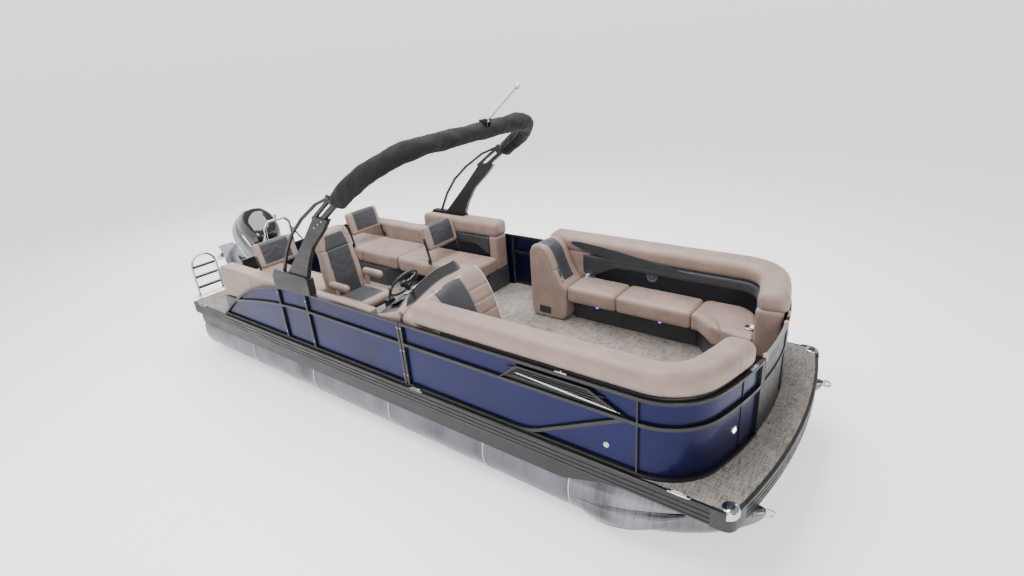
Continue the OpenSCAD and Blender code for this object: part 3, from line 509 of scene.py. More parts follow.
TAUPE = MarineVinyl("marine_vinyl_taupe", "#857167", 0.5, sheen=0.12, slot="taupe_vinyl")
CHARCOAL = MarineVinyl(
    "marine_vinyl_charcoal", "#292b30", 0.46, sheen=0.1, slot="charcoal_vinyl", mottle=0.08
)
DEEP_VINYL = MarineVinyl("marine_vinyl_black", "#25262d", 0.5, slot="charcoal_vinyl")
PIPING = MouldedPlastic("extruded_vinyl_piping_dark", "#2b2b2d", 0.45, slot="charcoal_vinyl")
PALE_PIPING = MouldedPlastic("extruded_vinyl_piping_white", "#e8e2dc", 0.4, slot="taupe_vinyl")
THREAD = Finish("polyester_thread_grey", "#9a9c9f", 0.6, slot="charcoal_vinyl")
FLOOR = WovenFloor("woven_vinyl_floor", "#85807c", 0.62, slot="woven_vinyl")
TUBE_METAL = RolledAluminium("rolled_aluminium_sheet", "#5e6066", 0.30, 1.0, slot="tube_aluminium")
NOSE_METAL = RolledAluminium(
    "buffed_aluminium_sheet", "#727278", 0.24, 1.0, slot="tube_aluminium", hoop_mm=8.0
)
WELD = Finish("aluminium_weld_bead", "#b9babc", 0.42, 1.0, slot="tube_aluminium")
# Navy flake paint: its lighter flake tones are painted glints
NAVY = FlakePaint("metallic_navy_paint", "#0c0e30", 0.42, 0.82, coat=0.12, coat_rough=0.1, slot="navy_panel")
RAIL = BrushedBar("anodised_rail_black", "#0c0d0d", 0.42, 0.1, slot="black_rail")
# Lighter copy of the rail finish, used as painted highlight on the top rail's crown, the rub rail's rib edges and the
# vent slats
RAIL_HIGHLIGHT = BrushedBar("anodised_rail_edge", "#3b3d39", 0.26, 0.6, slot="black_rail")
SKIRT = BrushedBar("powder_coated_skirt", "#191b1b", 0.42, 0.3, slot="charcoal_skirt")
CHROME = PolishedMetal("polished_stainless_steel", "#c4c5c9", 0.09, 1.0, slot="chrome")
PLASTIC = MouldedPlastic("moulded_abs_black", "#1d1e21", 0.4, slot="black_plastic")
GREY_PLASTIC = MouldedPlastic("moulded_abs_grey", "#6f7174", 0.45, slot="black_plastic")
SCREEN = TintedAcrylic("smoked_acrylic", "#19191f", 0.05, slot="tinted_screen")
# Black canvas; its fold hollows carry painted shade and its fold crests painted highlight
BOOT = Canvas("acrylic_canvas_black", "#050607", 0.9, sheen=0.0, slot="canvas")
ARCH_PAINT = BrushedBar("powder_coated_arch_black", "#0a0b0b", 0.46, 0.0, slot="black_rail", grain_mm=4.0)
COWL_PAINT = Finish("gloss_black_paint", "#0c0d10", 0.16, 0.0, coat=1.0, coat_rough=0.03, slot="engine_gloss")
# Silver flake paint: its lighter flake tones are painted glints
LEG_PAINT = FlakePaint(
    "silver_engine_paint", "#4c4f54", 0.36, 0.5, coat=0.3, slot="engine_silver", light="#6d7075"
)
CASTING = BrushedBar("painted_casting_black", "#202225", 0.4, 0.2, slot="engine_casting", grain_mm=3.0)
PROP_METAL = PolishedMetal("cast_stainless_steel", "#c3c4c7", 0.22, 1.0, slot="steel_propeller")
DIAL = Finish("printed_dial_black", "#0e0f12", 0.18, coat=0.8, slot="black_plastic")
PURPLE_LAMP = LampLens("diode_lens_violet", "#d9c2ff", 0.3, glow="#7a22ff", power=4.0, slot="chrome")
GREEN_LAMP = LampLens("diode_lens_green", "#0fc070", 0.3, glow="#00ff60", power=0.7, slot="chrome")
RED_LAMP = LampLens("diode_lens_red", "#ffd0d0", 0.3, glow="#ff1010", power=3.0, slot="chrome")
WHITE_LAMP = LampLens("diode_lens_white", "#ffffff", 0.2, glow="#ffffff", power=6.0, slot="chrome")
TAN_RUBBER = MouldedPlastic("moulded_rubber_tan", "#b08c6e", 0.6, slot="taupe_vinyl")

# ---------------------------------------------------------------- surface helpers


@dataclass
class Shape:
    """A surface as arrays: its points, and its faces by corner count, each with the number of its finish."""

    points: Array
    faces: list[tuple[Array, Array]]

    def __add__(self, other: "Shape") -> "Shape":
        """Joins two shapes to one."""
        moved = [(corners + len(self.points), tags) for corners, tags in other.faces]
        return Shape(np.concatenate([self.points, other.points]), self.faces + moved)

    def tagged(self, tag: int) -> "Shape":
        """Gives every face the same finish number."""
        return Shape(self.points, [(corners, np.full(len(corners), tag)) for corners, _ in self.faces])

    def tagged_where(self, tag: int, test: Callable[[Array], Array]) -> "Shape":
        """Gives a finish number to the faces whose middles pass a test.

        Args:
            tag: finish number.
            test: takes an array of points and returns which of them count.

        Returns:
            The same surface with its faces numbered anew.
        """
        faces = [(c, np.where(test(self.points[c].mean(1)), tag, tags)) for c, tags in self.faces]
        return Shape(self.points, faces)

    def mapped(self, place: Callable[[Array], Array]) -> "Shape":
        """Moves every point by a function of the whole array."""
        return Shape(place(self.points), self.faces)

    def on(self, side: Side) -> "Shape":
        """Mirrors a port shape to its side, and turns its faces so that they still point outwards."""
        if side is Side.PORT:
            return self
        flipped = [(corners[:, ::-1], tags) for corners, tags in self.faces]
        return Shape(self.points * np.array([1, -1, 1]), flipped)

    def volume(self) -> float:
        """The signed volume, from the sum over triangles of corner dot the others' cross product over six."""
        total = 0.0
        for corners, _ in self.faces:
            a = self.points[corners[:, 0]]
            for k in range(1, corners.shape[1] - 1):
                b, c = self.points[corners[:, k]], self.points[corners[:, k + 1]]
                total += float((a * np.cross(b, c)).sum()) / 6
        return total

    def outward(self) -> "Shape":
        """Turns all faces round if the closed surface is inside out."""
        if self.volume() >= 0:
            return self
        return Shape(self.points, [(corners[:, ::-1], tags) for corners, tags in self.faces])


def join(shapes: Sequence[Shape]) -> Shape:
    """Joins any number of shapes to one."""
    whole = shapes[0]
    for shape in shapes[1:]:
        whole = whole + shape
    return whole


def cells(rows: int, cols: int, wrap_rows: bool, wrap_cols: bool) -> Array:
    """Corner numbers of the four-sided faces between the rows and columns of a lattice."""
    r, c = np.meshgrid(
        np.arange(rows if wrap_rows else rows - 1), np.arange(cols if wrap_cols else cols - 1), indexing="ij"
    )
    r, c = r.ravel(), c.ravel()
    r1, c1 = (r + 1) % rows, (c + 1) % cols
    return np.stack([r * cols + c, r1 * cols + c, r1 * cols + c1, r * cols + c1], 1)


def lattice(points: Array, ring: bool = True, loop: bool = False, capped: bool = True) -> Shape:
    """Skins a lattice of points, rows along a path and columns round it.

    Args:
        points: rows by columns by three.
        ring: columns close on themselves.
        loop: rows close on themselves.
        capped: the first and last ring are closed by a fan to their middle.

    Returns:
        The surface, pointing outwards if it is closed.
    """
    rows, cols = points.shape[:2]
    flat = points.reshape(-1, 3)
    quads = cells(rows, cols, loop, ring)
    shape = Shape(flat, [(quads, np.zeros(len(quads), int))])
    if ring and capped and not loop:
        hubs = points[[0, -1]].mean(1)
        here = np.arange(cols)
        after = (here + 1) % cols
        last = (rows - 1) * cols
        fans = np.concatenate(
            [
                np.stack([np.full(cols, len(flat)), here, after], 1),
                np.stack([np.full(cols, len(flat) + 1), last + after, last + here], 1),
            ]
        )
        shape = Shape(np.concatenate([flat, hubs]), shape.faces + [(fans, np.zeros(len(fans), int))])
    return shape.outward() if ring and (capped or loop) else shape


def unit(v: Array) -> Array:
    """Scales vectors to length one."""
    return v / np.maximum(np.linalg.norm(v, axis=-1, keepdims=True), 1e-12)


def smooth_path(points: Sequence[Sequence[float]], count: int, closed: bool = False) -> Array:
    """Carries a smooth curve through points, by Catmull and Rom's cubic on each span.

    Args:
        points: corner points, two or three numbers each.
        count: how many points come back.
        closed: the curve runs back to its first point.

    Returns:
        Points evenly spread along the curve.
    """
    p = np.asarray(points, float)
    n = len(p)
    spans = n if closed else n - 1
    t = np.linspace(0, spans, spans * 24 + 1)
    i = np.minimum(t.astype(int), spans - 1)
    f = (t - i)[:, None]

    def pick(k: Array) -> Array:
        """The points numbered k, past the ends too."""
        return p[k % n] if closed else p[np.clip(k, 0, n - 1)]

    a, b, c, d = pick(i - 1), pick(i), pick(i + 1), pick(i + 2)
    curve = 0.5 * (2 * b + (c - a) * f + (2 * a - 5 * b + 4 * c - d) * f**2 + (3 * b - a - 3 * c + d) * f**3)
    return evenly(curve, count, closed)


def evenly(curve: Array, count: int, closed: bool = False) -> Array:
    """Spreads points evenly by length along a broken line."""
    run = np.concatenate([[0], np.cumsum(np.linalg.norm(np.diff(curve, axis=0), axis=1))])
    want = np.linspace(0, run[-1], count, endpoint=not closed)
    return np.stack([np.interp(want, run, curve[:, k]) for k in range(curve.shape[1])], 1)


def round_corners(outline: Sequence[Sequence[float]], radius: float, count: int) -> Array:
    """Rounds the corners of a closed outline and spreads points evenly along it.

    Each corner gives way to a parabola that starts and ends one radius, or at most 0.45 of a side, from it.

    Args:
        outline: corner points in order.
        radius: distance from a corner at which its curve starts.
        count: how many points come back.

    Returns:
        count points by two.
    """
    p = np.asarray(outline, float)
    back, ahead = np.roll(p, 1, 0) - p, np.roll(p, -1, 0) - p
    lb, la = np.linalg.norm(back, axis=1), np.linalg.norm(ahead, axis=1)
    cut = np.minimum(radius, 0.45 * np.minimum(lb, la))
    start, end = p + back * (cut / lb)[:, None], p + ahead * (cut / la)[:, None]
    t = np.linspace(0, 1, 9)[None, :, None]
    curve = (1 - t) ** 2 * start[:, None] + 2 * t * (1 - t) * p[:, None] + t**2 * end[:, None]
    flat = curve.reshape(-1, 2)
    return evenly(np.concatenate([flat, flat[:1]]), count, closed=True)


def frames(path: Array, up: Sequence[float], closed: bool = False) -> tuple[Array, Array, Array]:
    """Directions along a path: ahead, sideways and upwards at each point, square to each other."""
    if closed:
        ahead = unit(np.roll(path, -1, 0) - np.roll(path, 1, 0))
    else:
        ahead = unit(np.gradient(path, axis=0))
    side = unit(np.cross(ahead, np.asarray(up, float)[None]))
    return ahead, side, np.cross(side, ahead)


def sweep(
    section: Array, path: Array, up: Sequence[float] = (0, 0, 1), scale: Array | None = None, closed: bool = False
) -> Shape:
    """Carries a closed section along a path.

    A point of the section (a, b) lies a to the right of the path and b upwards.

    Args:
        section: columns by two.
        path: rows by three.
        up: a direction that the path never takes.
        scale: how large the section is at each row.
        closed: the path is a loop.

    Returns:
        The closed surface.
    """
    _, side, rise = frames(path, up, closed)
    grow = np.ones(len(path)) if scale is None else scale
    a, b = section[:, 0][None, :, None], section[:, 1][None, :, None]
    points = path[:, None] + (side[:, None] * a + rise[:, None] * b) * grow[:, None, None]
    return lattice(points, loop=closed)


def circle(radius: float, sides: int = 12, squash: float = 1.0) -> Array:
    """Points of a circle, or of an ellipse if squashed."""
    turn = np.linspace(0, 2 * math.pi, sides, endpoint=False)
    return np.stack([radius * np.cos(turn), radius * squash * np.sin(turn)], 1)


def bar(
    path: Sequence[Sequence[float]], radius: float, count: int = 40, sides: int = 12,
    up: Sequence[float] = (0, 0, 1), smooth: bool = True, closed: bool = False
) -> Shape:
    """Round bar along a smooth path, or along a broken line if not smooth."""
    line = smooth_path(path, count, closed) if smooth else evenly(np.asarray(path, float), count)
    return sweep(circle(radius, sides), line, up, closed=closed)


def turned(
    profile: Sequence[Sequence[float]], at: Sequence[float], axis: Sequence[float], sides: int = 32
) -> Shape:
    """Turns a profile round an axis, as a lathe does.

    Args:
        profile: radius and distance along the axis, point by point.
        at: foot of the axis.
        axis: its direction.
        sides: faces round it.

    Returns:
        The surface, closed at both ends.
    """
    prof = np.asarray(profile, float)
    along = unit(np.asarray(axis, float))
    spare = np.array([0.0, 0, 1]) if abs(along[2]) < 0.9 else np.array([1.0, 0, 0])
    right = unit(np.cross(spare, along))
    rise = np.cross(along, right)
    ring = circle(1.0, sides)
    spokes = ring[:, :1] * right + ring[:, 1:] * rise
    points = np.asarray(at, float) + prof[:, 1][
        :, None, None
    ] * along + prof[:, 0][:, None, None] * spokes[None]
    return lattice(points)


def stations(count: int, half: float, seams: Sequence[float] = (), seam: float = 0.006) -> Array:
    """Places of a block's lattice lines along one axis, from -half to half, closer at its ends and seams.

    Args:
        count: even spaces over the whole length.
        half: half the length.
        seams: places where a groove runs across.
        seam: half the groove's width.

    Returns:
        Places in rising order.
    """
    t = np.linspace(-1, 1, count + 1)
    eased = half * (0.55 * t + 0.45 * np.sin(t * math.pi / 2))
    extra = [s + k * seam for s in seams for k in (-2, -1, -0.5, 0, 0.5, 1, 2)]
    return np.unique(np.round(np.concatenate([eased, extra]), 6))


def block(size: Sequence[float], radius: float, lines: Sequence[Array]) -> tuple[Array, Array]:
    """Lattice over the six sides of a block with rounded edges and corners.

    Each point is split into its place in the block shrunk by the radius and what is left over; the left-over part
    is set to the radius long, which rounds the edges.

    Args:
        size: the block's length, width and height.
        radius: of its edges.
        lines: lattice lines along each axis, from stations().

    Returns:
        Points by three about the block's middle, and faces by four corners.
    """
    counts = [len(line) - 1 for line in lines]
    sides = []
    for axis in range(3):
        a, b = (k for k in range(3) if k != axis)
        i, j = (g.ravel() for g in np.meshgrid(np.arange(counts[a]), np.arange(counts[b]), indexing="ij"))
        for end in (0, counts[axis]):
            corner = np.full((i.size, 4, 3), end)
            corner[:, :, a] = i[:, None] + np.array([0, 1, 1, 0])
            corner[:, :, b] = j[:, None] + np.array([0, 0, 1, 1])
            sides.append(corner[:, ::-1] if (end == 0) != (axis == 1) else corner)
    flat = np.concatenate(sides).reshape(-1, 3)
    nodes, number = np.unique(flat, axis=0, return_inverse=True)
    raw = np.stack([lines[k][nodes[:, k]] for k in range(3)], 1)
    half = np.asarray(size, float) / 2
    inner = np.clip(raw, -(half - radius), half - radius)
    spare = raw - inner
    return inner + radius * unit(spare), number.reshape(-1, 4)


@dataclass
class Pad:
    """A stuffed block: crowned on top, full at its sides, drawn in at its seams.

    Attributes:
        size: length, width and height before stuffing.
        radius: of its edges.
        crown: how far the middle of the top stands above its rim.
        bulge: how far the middle of a side stands out.
        long_seams: places along the length where a seam crosses the top.
        wide_seams: places across the width where a seam runs along.
        seam_depth: depth of those grooves.
        fineness: size of a lattice space.
        wrinkle: height of the slack in the cover.
    """

    size: tuple[float, float, float]
    radius: float = 0.035
    crown: float = 0.018
    bulge: float = 0.008
    long_seams: tuple[float, ...] = ()
    wide_seams: tuple[float, ...] = ()
    seam_depth: float = 0.012
    fineness: float = 0.018
    wrinkle: float = 0.0016

    def shape(self) -> Shape:
        """Builds the pad about its own middle.

        The crown is the product of one minus the square of each relative place; a seam's groove is a bell curve of
        the distance from it; slack is a sum of three slow waves.

        Returns:
            The closed surface.
        """
        length, width, height = self.size
        lines = [
            stations(max(8, round(length / self.fineness)), length / 2, self.long_seams),
            stations(max(8, round(width / self.fineness)), width / 2, self.wide_seams),
            stations(max(5, round(height / self.fineness)), height / 2),
        ]
        points, quads = block(self.size, self.radius, lines)
        half = np.array(self.size) / 2
        u, v, w = (points / half).T
        top = np.clip((w + 1) / 2, 0, 1)
        dome = (1 - np.clip(u, -1, 1) ** 2) * (1 - np.clip(v, -1, 1) ** 2)
        puff = 1 - w**2
        groove = np.zeros(len(points))
        for k, seams in enumerate((self.long_seams, self.wide_seams)):
            for at in seams:
                groove += np.exp(-(((points[:, k] - at) / 0.006) ** 2))
        x, y, z = points.T
        slack = np.sin(23 * x + 9 * y) * np.sin(17 * y - 5 * x + 1.3) * np.sin(11 * x + 1.7)
        depth = self.seam_depth * groove
        ends = np.clip(np.abs(u), 0, 1) ** 6
        flanks = np.clip(np.abs(v), 0, 1) ** 6
        out = np.stack(
            [
                x + np.sign(u) * ends * (self.bulge * puff * (1 - v**2) - depth * puff * 0.5),
                y + np.sign(v) * flanks * (self.bulge * puff * (1 - u**2) - depth * puff * 0.5),
                z + top * (self.crown * dome - depth + self.wrinkle * slack),
            ],
            1,
        )
        return Shape(out, [(quads, np.zeros(len(quads), int))])


def placed(at: Sequence[float], right: Sequence[float], ahead: Sequence[float]) -> Callable[[Array], Array]:
    """A function that stands a shape up at a place.

    Args:
        at: where its middle goes.
        right: where its x axis points.
        ahead: where its y axis points.

    Returns:
        The function, for Shape.mapped.
    """
    ex = unit(np.asarray(right, float))
    ey = unit(np.asarray(ahead, float) - ex * float(np.dot(ahead, ex)))
    axes = np.stack([ex, ey, np.cross(ex, ey)])
    return lambda p: np.asarray(at, float) + p @ axes


def loft(
    outline: Callable[[Array], Array], lines: Array, edge: float, grow: Callable[
        [Array, Array], Array
    ] | None = None
) -> Shape:
    """Stacks upright outlines along y and rounds the two end edges.

    Near an end each outline shrinks towards its middle by the height of a quarter circle of the edge's radius.

    Args:
        outline: takes the y places and returns outlines by points by two, x and z.
        lines: y places in rising order.
        edge: radius of the two end edges.
        grow: takes y and outline number grids and returns how far a point moves out along its normal.

    Returns:
        The closed surface.
    """
    low, high = lines[0], lines[-1]
    flat = outline(lines)
    near = np.minimum(lines - low, high - lines)
    inset = edge - np.sqrt(np.maximum(edge**2 - np.maximum(edge - near, 0) ** 2, 0))
    tangent = unit(np.roll(flat, -1, 1) - np.roll(flat, 1, 1))
    normal = np.stack([tangent[..., 1], -tangent[..., 0]], -1)
    area = 0.5 * (
        flat[0, :, 0] * np.roll(flat[0, :, 1], -1) - np.roll(flat[0, :, 0], -1) * flat[0, :, 1]
    ).sum()
    normal *= 1 if area > 0 else -1
    offset = -inset[:, None]
    if grow is not None:
        offset = offset + grow(*np.meshgrid(lines, np.arange(flat.shape[1]), indexing="ij"))
    flat = flat + normal * offset[..., None]
    points = np.stack([flat[..., 0], np.broadcast_to(lines[:, None], flat.shape[:2]), flat[..., 1]], -1)
    return lattice(points)


def end_lines(low: float, high: float, edge: float, count: int, extra: Sequence[float] = ()) -> Array:
    """Places from low to high with a few more within the round end edges, and any extra ones."""
    quarter = edge * (1 - np.cos(np.linspace(0, math.pi / 2, 6)))
    middle = np.linspace(low + edge, high - edge, count)
    return np.unique(
        np.round(np.concatenate([low + quarter, middle, high - quarter, np.asarray(extra, float)]), 6)
    )


def groove(distance: Array, half_width: float = 0.006) -> Array:
    """Bell curve of the distance from a seam, one at the seam itself."""
    return np.exp(-((distance / half_width) ** 2))


def chevron(across: Array, along: Array, half: float, point: float) -> Array:
    """Distance from a V-shaped stitch line whose point lies at along = point and whose arms rise at 35 degrees."""
    return along - point - np.minimum(np.abs(across), half) * math.tan(math.radians(35))


# ---------------------------------------------------------------- making pieces


@dataclass
class Piece:
    """One visible piece: its surface, its finishes, what it rides on and what it stands for."""

    name: str
    shape: Shape
    finishes: tuple[Finish, ...]
    body: str = "boat"
    stands_for: tuple[str, ...] = ()
    fill: float | None = None
    subdivide: int = 0
    smooth: bool = True

    def build(self) -> bpy.types.Object:
        """Returns:
            The object, at the origin with its place in its mesh.
        """
        mesh = bpy.data.meshes.new(self.name)
        corners = [row for faces, _ in self.shape.faces for row in faces.tolist()]
        mesh.from_pydata((self.shape.points + DATUM).tolist(), [], corners)
        tags = np.concatenate([tags for _, tags in self.shape.faces])
        for finish in self.finishes:
            mesh.materials.append(finish.material())
        mesh.polygons.foreach_set("material_index", tags.astype(np.int32))
        mesh.polygons.foreach_set("use_smooth", np.full(len(tags), self.smooth))
        mesh.update()
        obj = bpy.data.objects.new(self.name, mesh)
        bpy.context.scene.collection.objects.link(obj)
        if self.subdivide:
            obj.modifiers.new("subdivision", "SUBSURF").levels = self.subdivide
            obj.modifiers["subdivision"].render_levels = self.subdivide
        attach(obj, self.body)
        if self.stands_for:
            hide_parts(*self.stands_for)
        LOG.info("%s: %d faces on %s", self.name, len(tags), self.body)
        return obj


def carry(node: str, finish: Finish) -> bpy.types.Object:
    """Gives a CAD node that stays its finish."""
    obj = FRAME["nodes"][node]
    obj.data.materials.clear()
    obj.data.materials.append(finish.material())
    LOG.info("%s: carried over in %s", node, finish.name)
    return obj


def soften(node: str, finish: Finish, edge: float) -> bpy.types.Object:
    """Stands a copy of a CAD node, with its edges eased, in the node's place.

    The copy's loose triangles are merged and its flat faces joined before a bevel rounds the edges.

    Args:
        node: CAD node.
        finish: of the copy.
        edge: radius of the eased edges, in metres.

    Returns:
        The new piece.
    """
    source = FRAME["nodes"][node]
    body = source["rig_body"]
    mesh = source.data.copy()
    mesh.name = node + "_eased"
    work = bmesh.new()
    work.from_mesh(mesh)
    bmesh.ops.remove_doubles(work, verts=work.verts, dist=2e-5)
    bmesh.ops.dissolve_limit(work, angle_limit=math.radians(1), verts=work.verts, edges=work.edges)
    bmesh.ops.connect_verts_concave(work, faces=work.faces)
    work.to_mesh(mesh)
    work.free()
    mesh.materials.clear()
    mesh.materials.append(finish.material())
    if mesh.has_custom_normals:
        mesh.attributes.remove(mesh.attributes["custom_normal"])
    mesh.polygons.foreach_set("use_smooth", np.ones(len(mesh.polygons), bool))
    obj = bpy.data.objects.new(mesh.name, mesh)
    bpy.context.scene.collection.objects.link(obj)
    easing = obj.modifiers.new("eased edges", "BEVEL")
    easing.width, easing.segments, easing.limit_method = edge, 2, "ANGLE"
    easing.angle_limit, easing.harden_normals, easing.miter_outer = math.radians(32), True, "MITER_ARC"
    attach(obj, body)
    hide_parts(node)
    LOG.info("%s: eased copy in %s", node, finish.name)
    return obj

# ---------------------------------------------------------------- hull


@dataclass
class Hull:
    """Tubes with their noses, deck, rub rail, castings and what lies under the deck."""

    beam: float = 2.59
    deck_len: float = 7.26
    bow_x: float = 7.42
    corner_r: float = 0.08
    tube_r: float = 0.3175
    tube_y: float = 0.95
    tube_z: float = -0.4325
    tube_x: float = 0.06
    nose_x: float = 5.96
    nose_len: float = 1.43
    rail_h: float = 0.15
    rail_t: float = 0.029

    def nose_ring(self, t: Array) -> tuple[Array, Array]:
        """Radius and middle height of the nose at a share t of its length.

        The radius falls as (1 - t^1.9)^0.75; the crown of the tube stays level and then drops by 30 mm times t^2.
        """
        radius = self.tube_r * np.maximum(1 - t**1.9, 0) ** 0.75 + 0.022 * t
        return radius, self.tube_z + self.tube_r - radius - 0.03 * t * t

    def tube(self, side: Side) -> Piece:
        """Tube from its dished aft end to the nose tip, with a weld bead at each joint of its sheets."""
        joints = self.tube_x + np.array([1.25, 2.5, 3.75, 5.0])
        beads = (joints[:, None] + np.array([-0.006, 0, 0.006])).ravel()
        straight = np.unique(
            np.concatenate([np.linspace(self.tube_x + 0.03, self.nose_x - 0.008, 40), beads])
        )
        t = 1 - (1 - np.linspace(0, 0.992, 46)) ** 1.25
        nose_r, nose_z = self.nose_ring(t)
        dish = np.array([[0.0, 0.62], [0.004, 0.9], [0.012, 0.972], [0.02, 0.992]])
        x = np.concatenate([self.tube_x + dish[:, 0], straight, self.nose_x + self.nose_len * t])
        bead = 0.0022 * (np.abs(straight[:, None] - joints).min(1) < 0.002)
        r = np.concatenate([self.tube_r * dish[:, 1], self.tube_r + bead, nose_r])
        z = np.concatenate([np.full(len(dish) + len(straight), self.tube_z), nose_z])
        turn = np.linspace(0, 2 * math.pi, 97)[:-1]
        share = np.clip((x - self.nose_x) / self.nose_len, 0, 1)[:, None]
        # The nose is folded from plates: its flanks flatten and a keel line shows below
        fold = 1 + share * (1 - share) * (
            0.12 * np.maximum(-np.sin(turn), 0) ** 6 - 0.10 * np.cos(turn) ** 8
        )[None]
        points = np.stack(
            [
                np.broadcast_to(x[:, None], (len(x), len(turn))),
                self.tube_y + r[:, None] * fold * np.cos(turn),
                z[:, None] + r[:, None] * fold * np.sin(turn),
            ],
            -1,
        )
        shape = lattice(points).tagged_where(1, lambda p: p[:, 0] > self.nose_x)
        seams = [
            turned(
                [
                    [self.tube_r - 0.004, -0.006], [self.tube_r + 0.004, -0.003],
                    [self.tube_r + 0.004, 0.003], [self.tube_r - 0.004, 0.006]
                ],
                (at, self.tube_y, self.tube_z), (1, 0, 0), 96
            ).tagged(2)
            for at in (*joints, self.nose_x)
        ]
        whole = join([shape, *seams, self.strake(), self.saddle()])
        return Piece(
            f"tube_{side.word}", whole.on(side), (TUBE_METAL, NOSE_METAL, WELD),
            stands_for=(f"pontoon_{side.word}",)
        )

    def strake(self) -> Shape:
        """Bent plate on the nose's outer flank that throws spray down: it leaves the flank and turns in again."""
        rows = np.linspace(0, 1, 26)
        x = self.nose_x + 0.10 + 0.86 * rows
        radius, z = self.nose_ring((x - self.nose_x) / self.nose_len)
        high = np.radians(-4 + 24 * rows**1.5)
        low = np.radians(-44 + 46 * rows**1.4)
        reach = 0.052 * np.sin(math.pi * np.clip(rows * 1.04 + 0.02, 0, 1)) ** 0.55
        turn = np.stack(
            [
                high, (high * 0.45 + low * 0.55), low, low - 0.03, low - 0.05, high * 0.5 + low * 0.5,
                high + 0.02
            ],
            1
        )
        lift = np.stack(
            [
                0.002 + 0 * rows, 0.62 * reach, reach, reach * 0.9, -0.01 + 0 * rows, -0.012 + 0 * rows,
                -0.01 + 0 * rows
            ],
            1
        )
        far = radius[:, None] + lift
        points = np.stack(
            [
                np.broadcast_to(x[:, None], turn.shape), self.tube_y + far * np.cos(turn),
                z[:, None] + far * np.sin(turn)
            ], -1
        )
        return lattice(points).tagged(1)

    def saddle(self) -> Shape:
        """Extruded bracket welded along the tube's crown, which the cross members are bolted to."""
        section = np.array(
            [
                [-0.06, 0.008], [-0.06, 0], [-0.02, -0.004], [-0.012, -0.034], [0.012, -0.034],
                [0.02, -0.004], [0.06, 0], [0.06, 0.008]
            ]
        )
        path = np.stack(
            [
                np.linspace(0.16, 6.56, 6), np.full(6, self.tube_y),
                np.full(6, self.tube_z + self.tube_r + 0.002)
            ],
            1
        )
        return sweep(section, path).tagged(2)

    def edge_path(self, inset: float, count: int) -> Array:
        """Outline of the deck, drawn in by inset: straight sides, round corners and an arched bow."""
        half = self.beam / 2
        rise = self.bow_x - self.deck_len
        arch = (half**2 + rise**2) / (2 * rise)
        cx = self.bow_x - arch + math.sqrt((arch - self.corner_r) ** 2 - (half - self.corner_r) ** 2)
        cy = half - self.corner_r
        tip = math.atan2(cy, cx - self.bow_x + arch)
        corner = np.linspace(math.pi / 2, tip, 14)
        port_corner = np.stack(
            [cx + (self.corner_r - inset) * np.cos(corner), cy + (self.corner_r - inset) * np.sin(corner)], 1
        )
        sweep_angle = np.linspace(tip, -tip, 60)[1:-1]
        bow = np.stack(
            [self.bow_x - arch + (arch - inset) * np.cos(sweep_angle), (arch - inset) * np.sin(sweep_angle)],
            1
        )
        aft = np.array(
            [[0.0 + inset, cy * 0.96], [0.0 + inset, half - inset - 0.012], [inset + 0.012, half - inset]]
        )
        port = np.concatenate(
            [aft, [[1.2, half - inset], [3.6, half - inset], [6.0, half - inset]], port_corner]
        )
        starboard = (port * np.array([1, -1]))[::-1]
        loop = np.concatenate([port, bow, starboard])
        path = evenly(np.concatenate([loop, loop[:1]]), count, closed=True)
        return np.column_stack([path, np.zeros(count)])

    def rub_rail(self) -> Piece:
        """Ribbed extrusion round the deck: a round nosing on top, two grooves and a lower lip, with painted highlights
        as two lighter bands along the rib edges.
        """
        out, mid = 0.0, -0.007
        face = [
            [
                -self.rail_t, 0.0
            ], [-0.008, 0.0], [-0.002, -0.004], [out, -0.012], [out, -0.030], [mid, -0.036], [mid, -0.046],
            [
                -0.001, -0.052
            ], [-0.001, -0.072], [mid, -0.078], [mid, -0.088], [-0.001, -0.094], [-0.001, -0.112],
            [mid, -0.118], [mid, -0.126], [-0.002, -0.132], [-0.003, -0.147], [-0.008, -0.150], [
                -self.rail_t, -0.150
            ],
        ]
        section = np.array(face)[::-1]
        path = self.edge_path(RUB_RAIL_INSET, 620)
        shape = sweep(section * np.array([-1, 1]), path, closed=True).outward()
        # Two narrow bands at the rib edges take the lighter rail tone as painted highlights
        bright = shape.tagged_where(
            1, lambda p: (np.abs(p[:, 2] + 0.033) < 0.004) | (np.abs(p[:, 2] + 0.075) < 0.004)
        )
        return Piece("rub_rail_extrusion", bright, (RAIL, RAIL_HIGHLIGHT), stands_for=("rub_rail",), smooth=False)

    def corner_casting(self, side: Side) -> Piece:
        """Polished casting over a bow corner with a domed cap screw."""
        half = self.beam / 2
        path = self.edge_path(0.0, 2400)
        keep = (path[:, 0] > self.deck_len - 0.05) & (path[:, 1] > half - 0.09)
        run = evenly(path[keep], 40)
        section = round_corners(
            [
                [0.001, -0.052], [0.004, 0.0], [-0.004, 0.011], [-0.062, 0.011], [-0.066, 0.002],
                [-0.03, 0.001], [-0.004, -0.004], [-0.003, -0.052]
            ],
            0.006, 40
        )
        shell = sweep(section * np.array([-1, 1]), run)
        middle = run[20] + np.array([-0.045, -0.045, 0.008])
        plate = turned([[0.06, -0.012], [0.06, 0.0], [0.052, 0.006], [0.001, 0.007]], middle, (0, 0, 1), 40)
        cap = turned(
            [
                [0.03, 0.004], [0.03, 0.014], [0.024, 0.017], [0.02, 0.0135], [0.012, 0.0135], [0.011, 0.018],
                [0.001, 0.019]
            ],
            middle, (0, 0, 1), 32
        ).tagged(1)
        return Piece(f"corner_casting_{side.word}", (shell + plate + cap).on(side), (CHROME, PLASTIC))

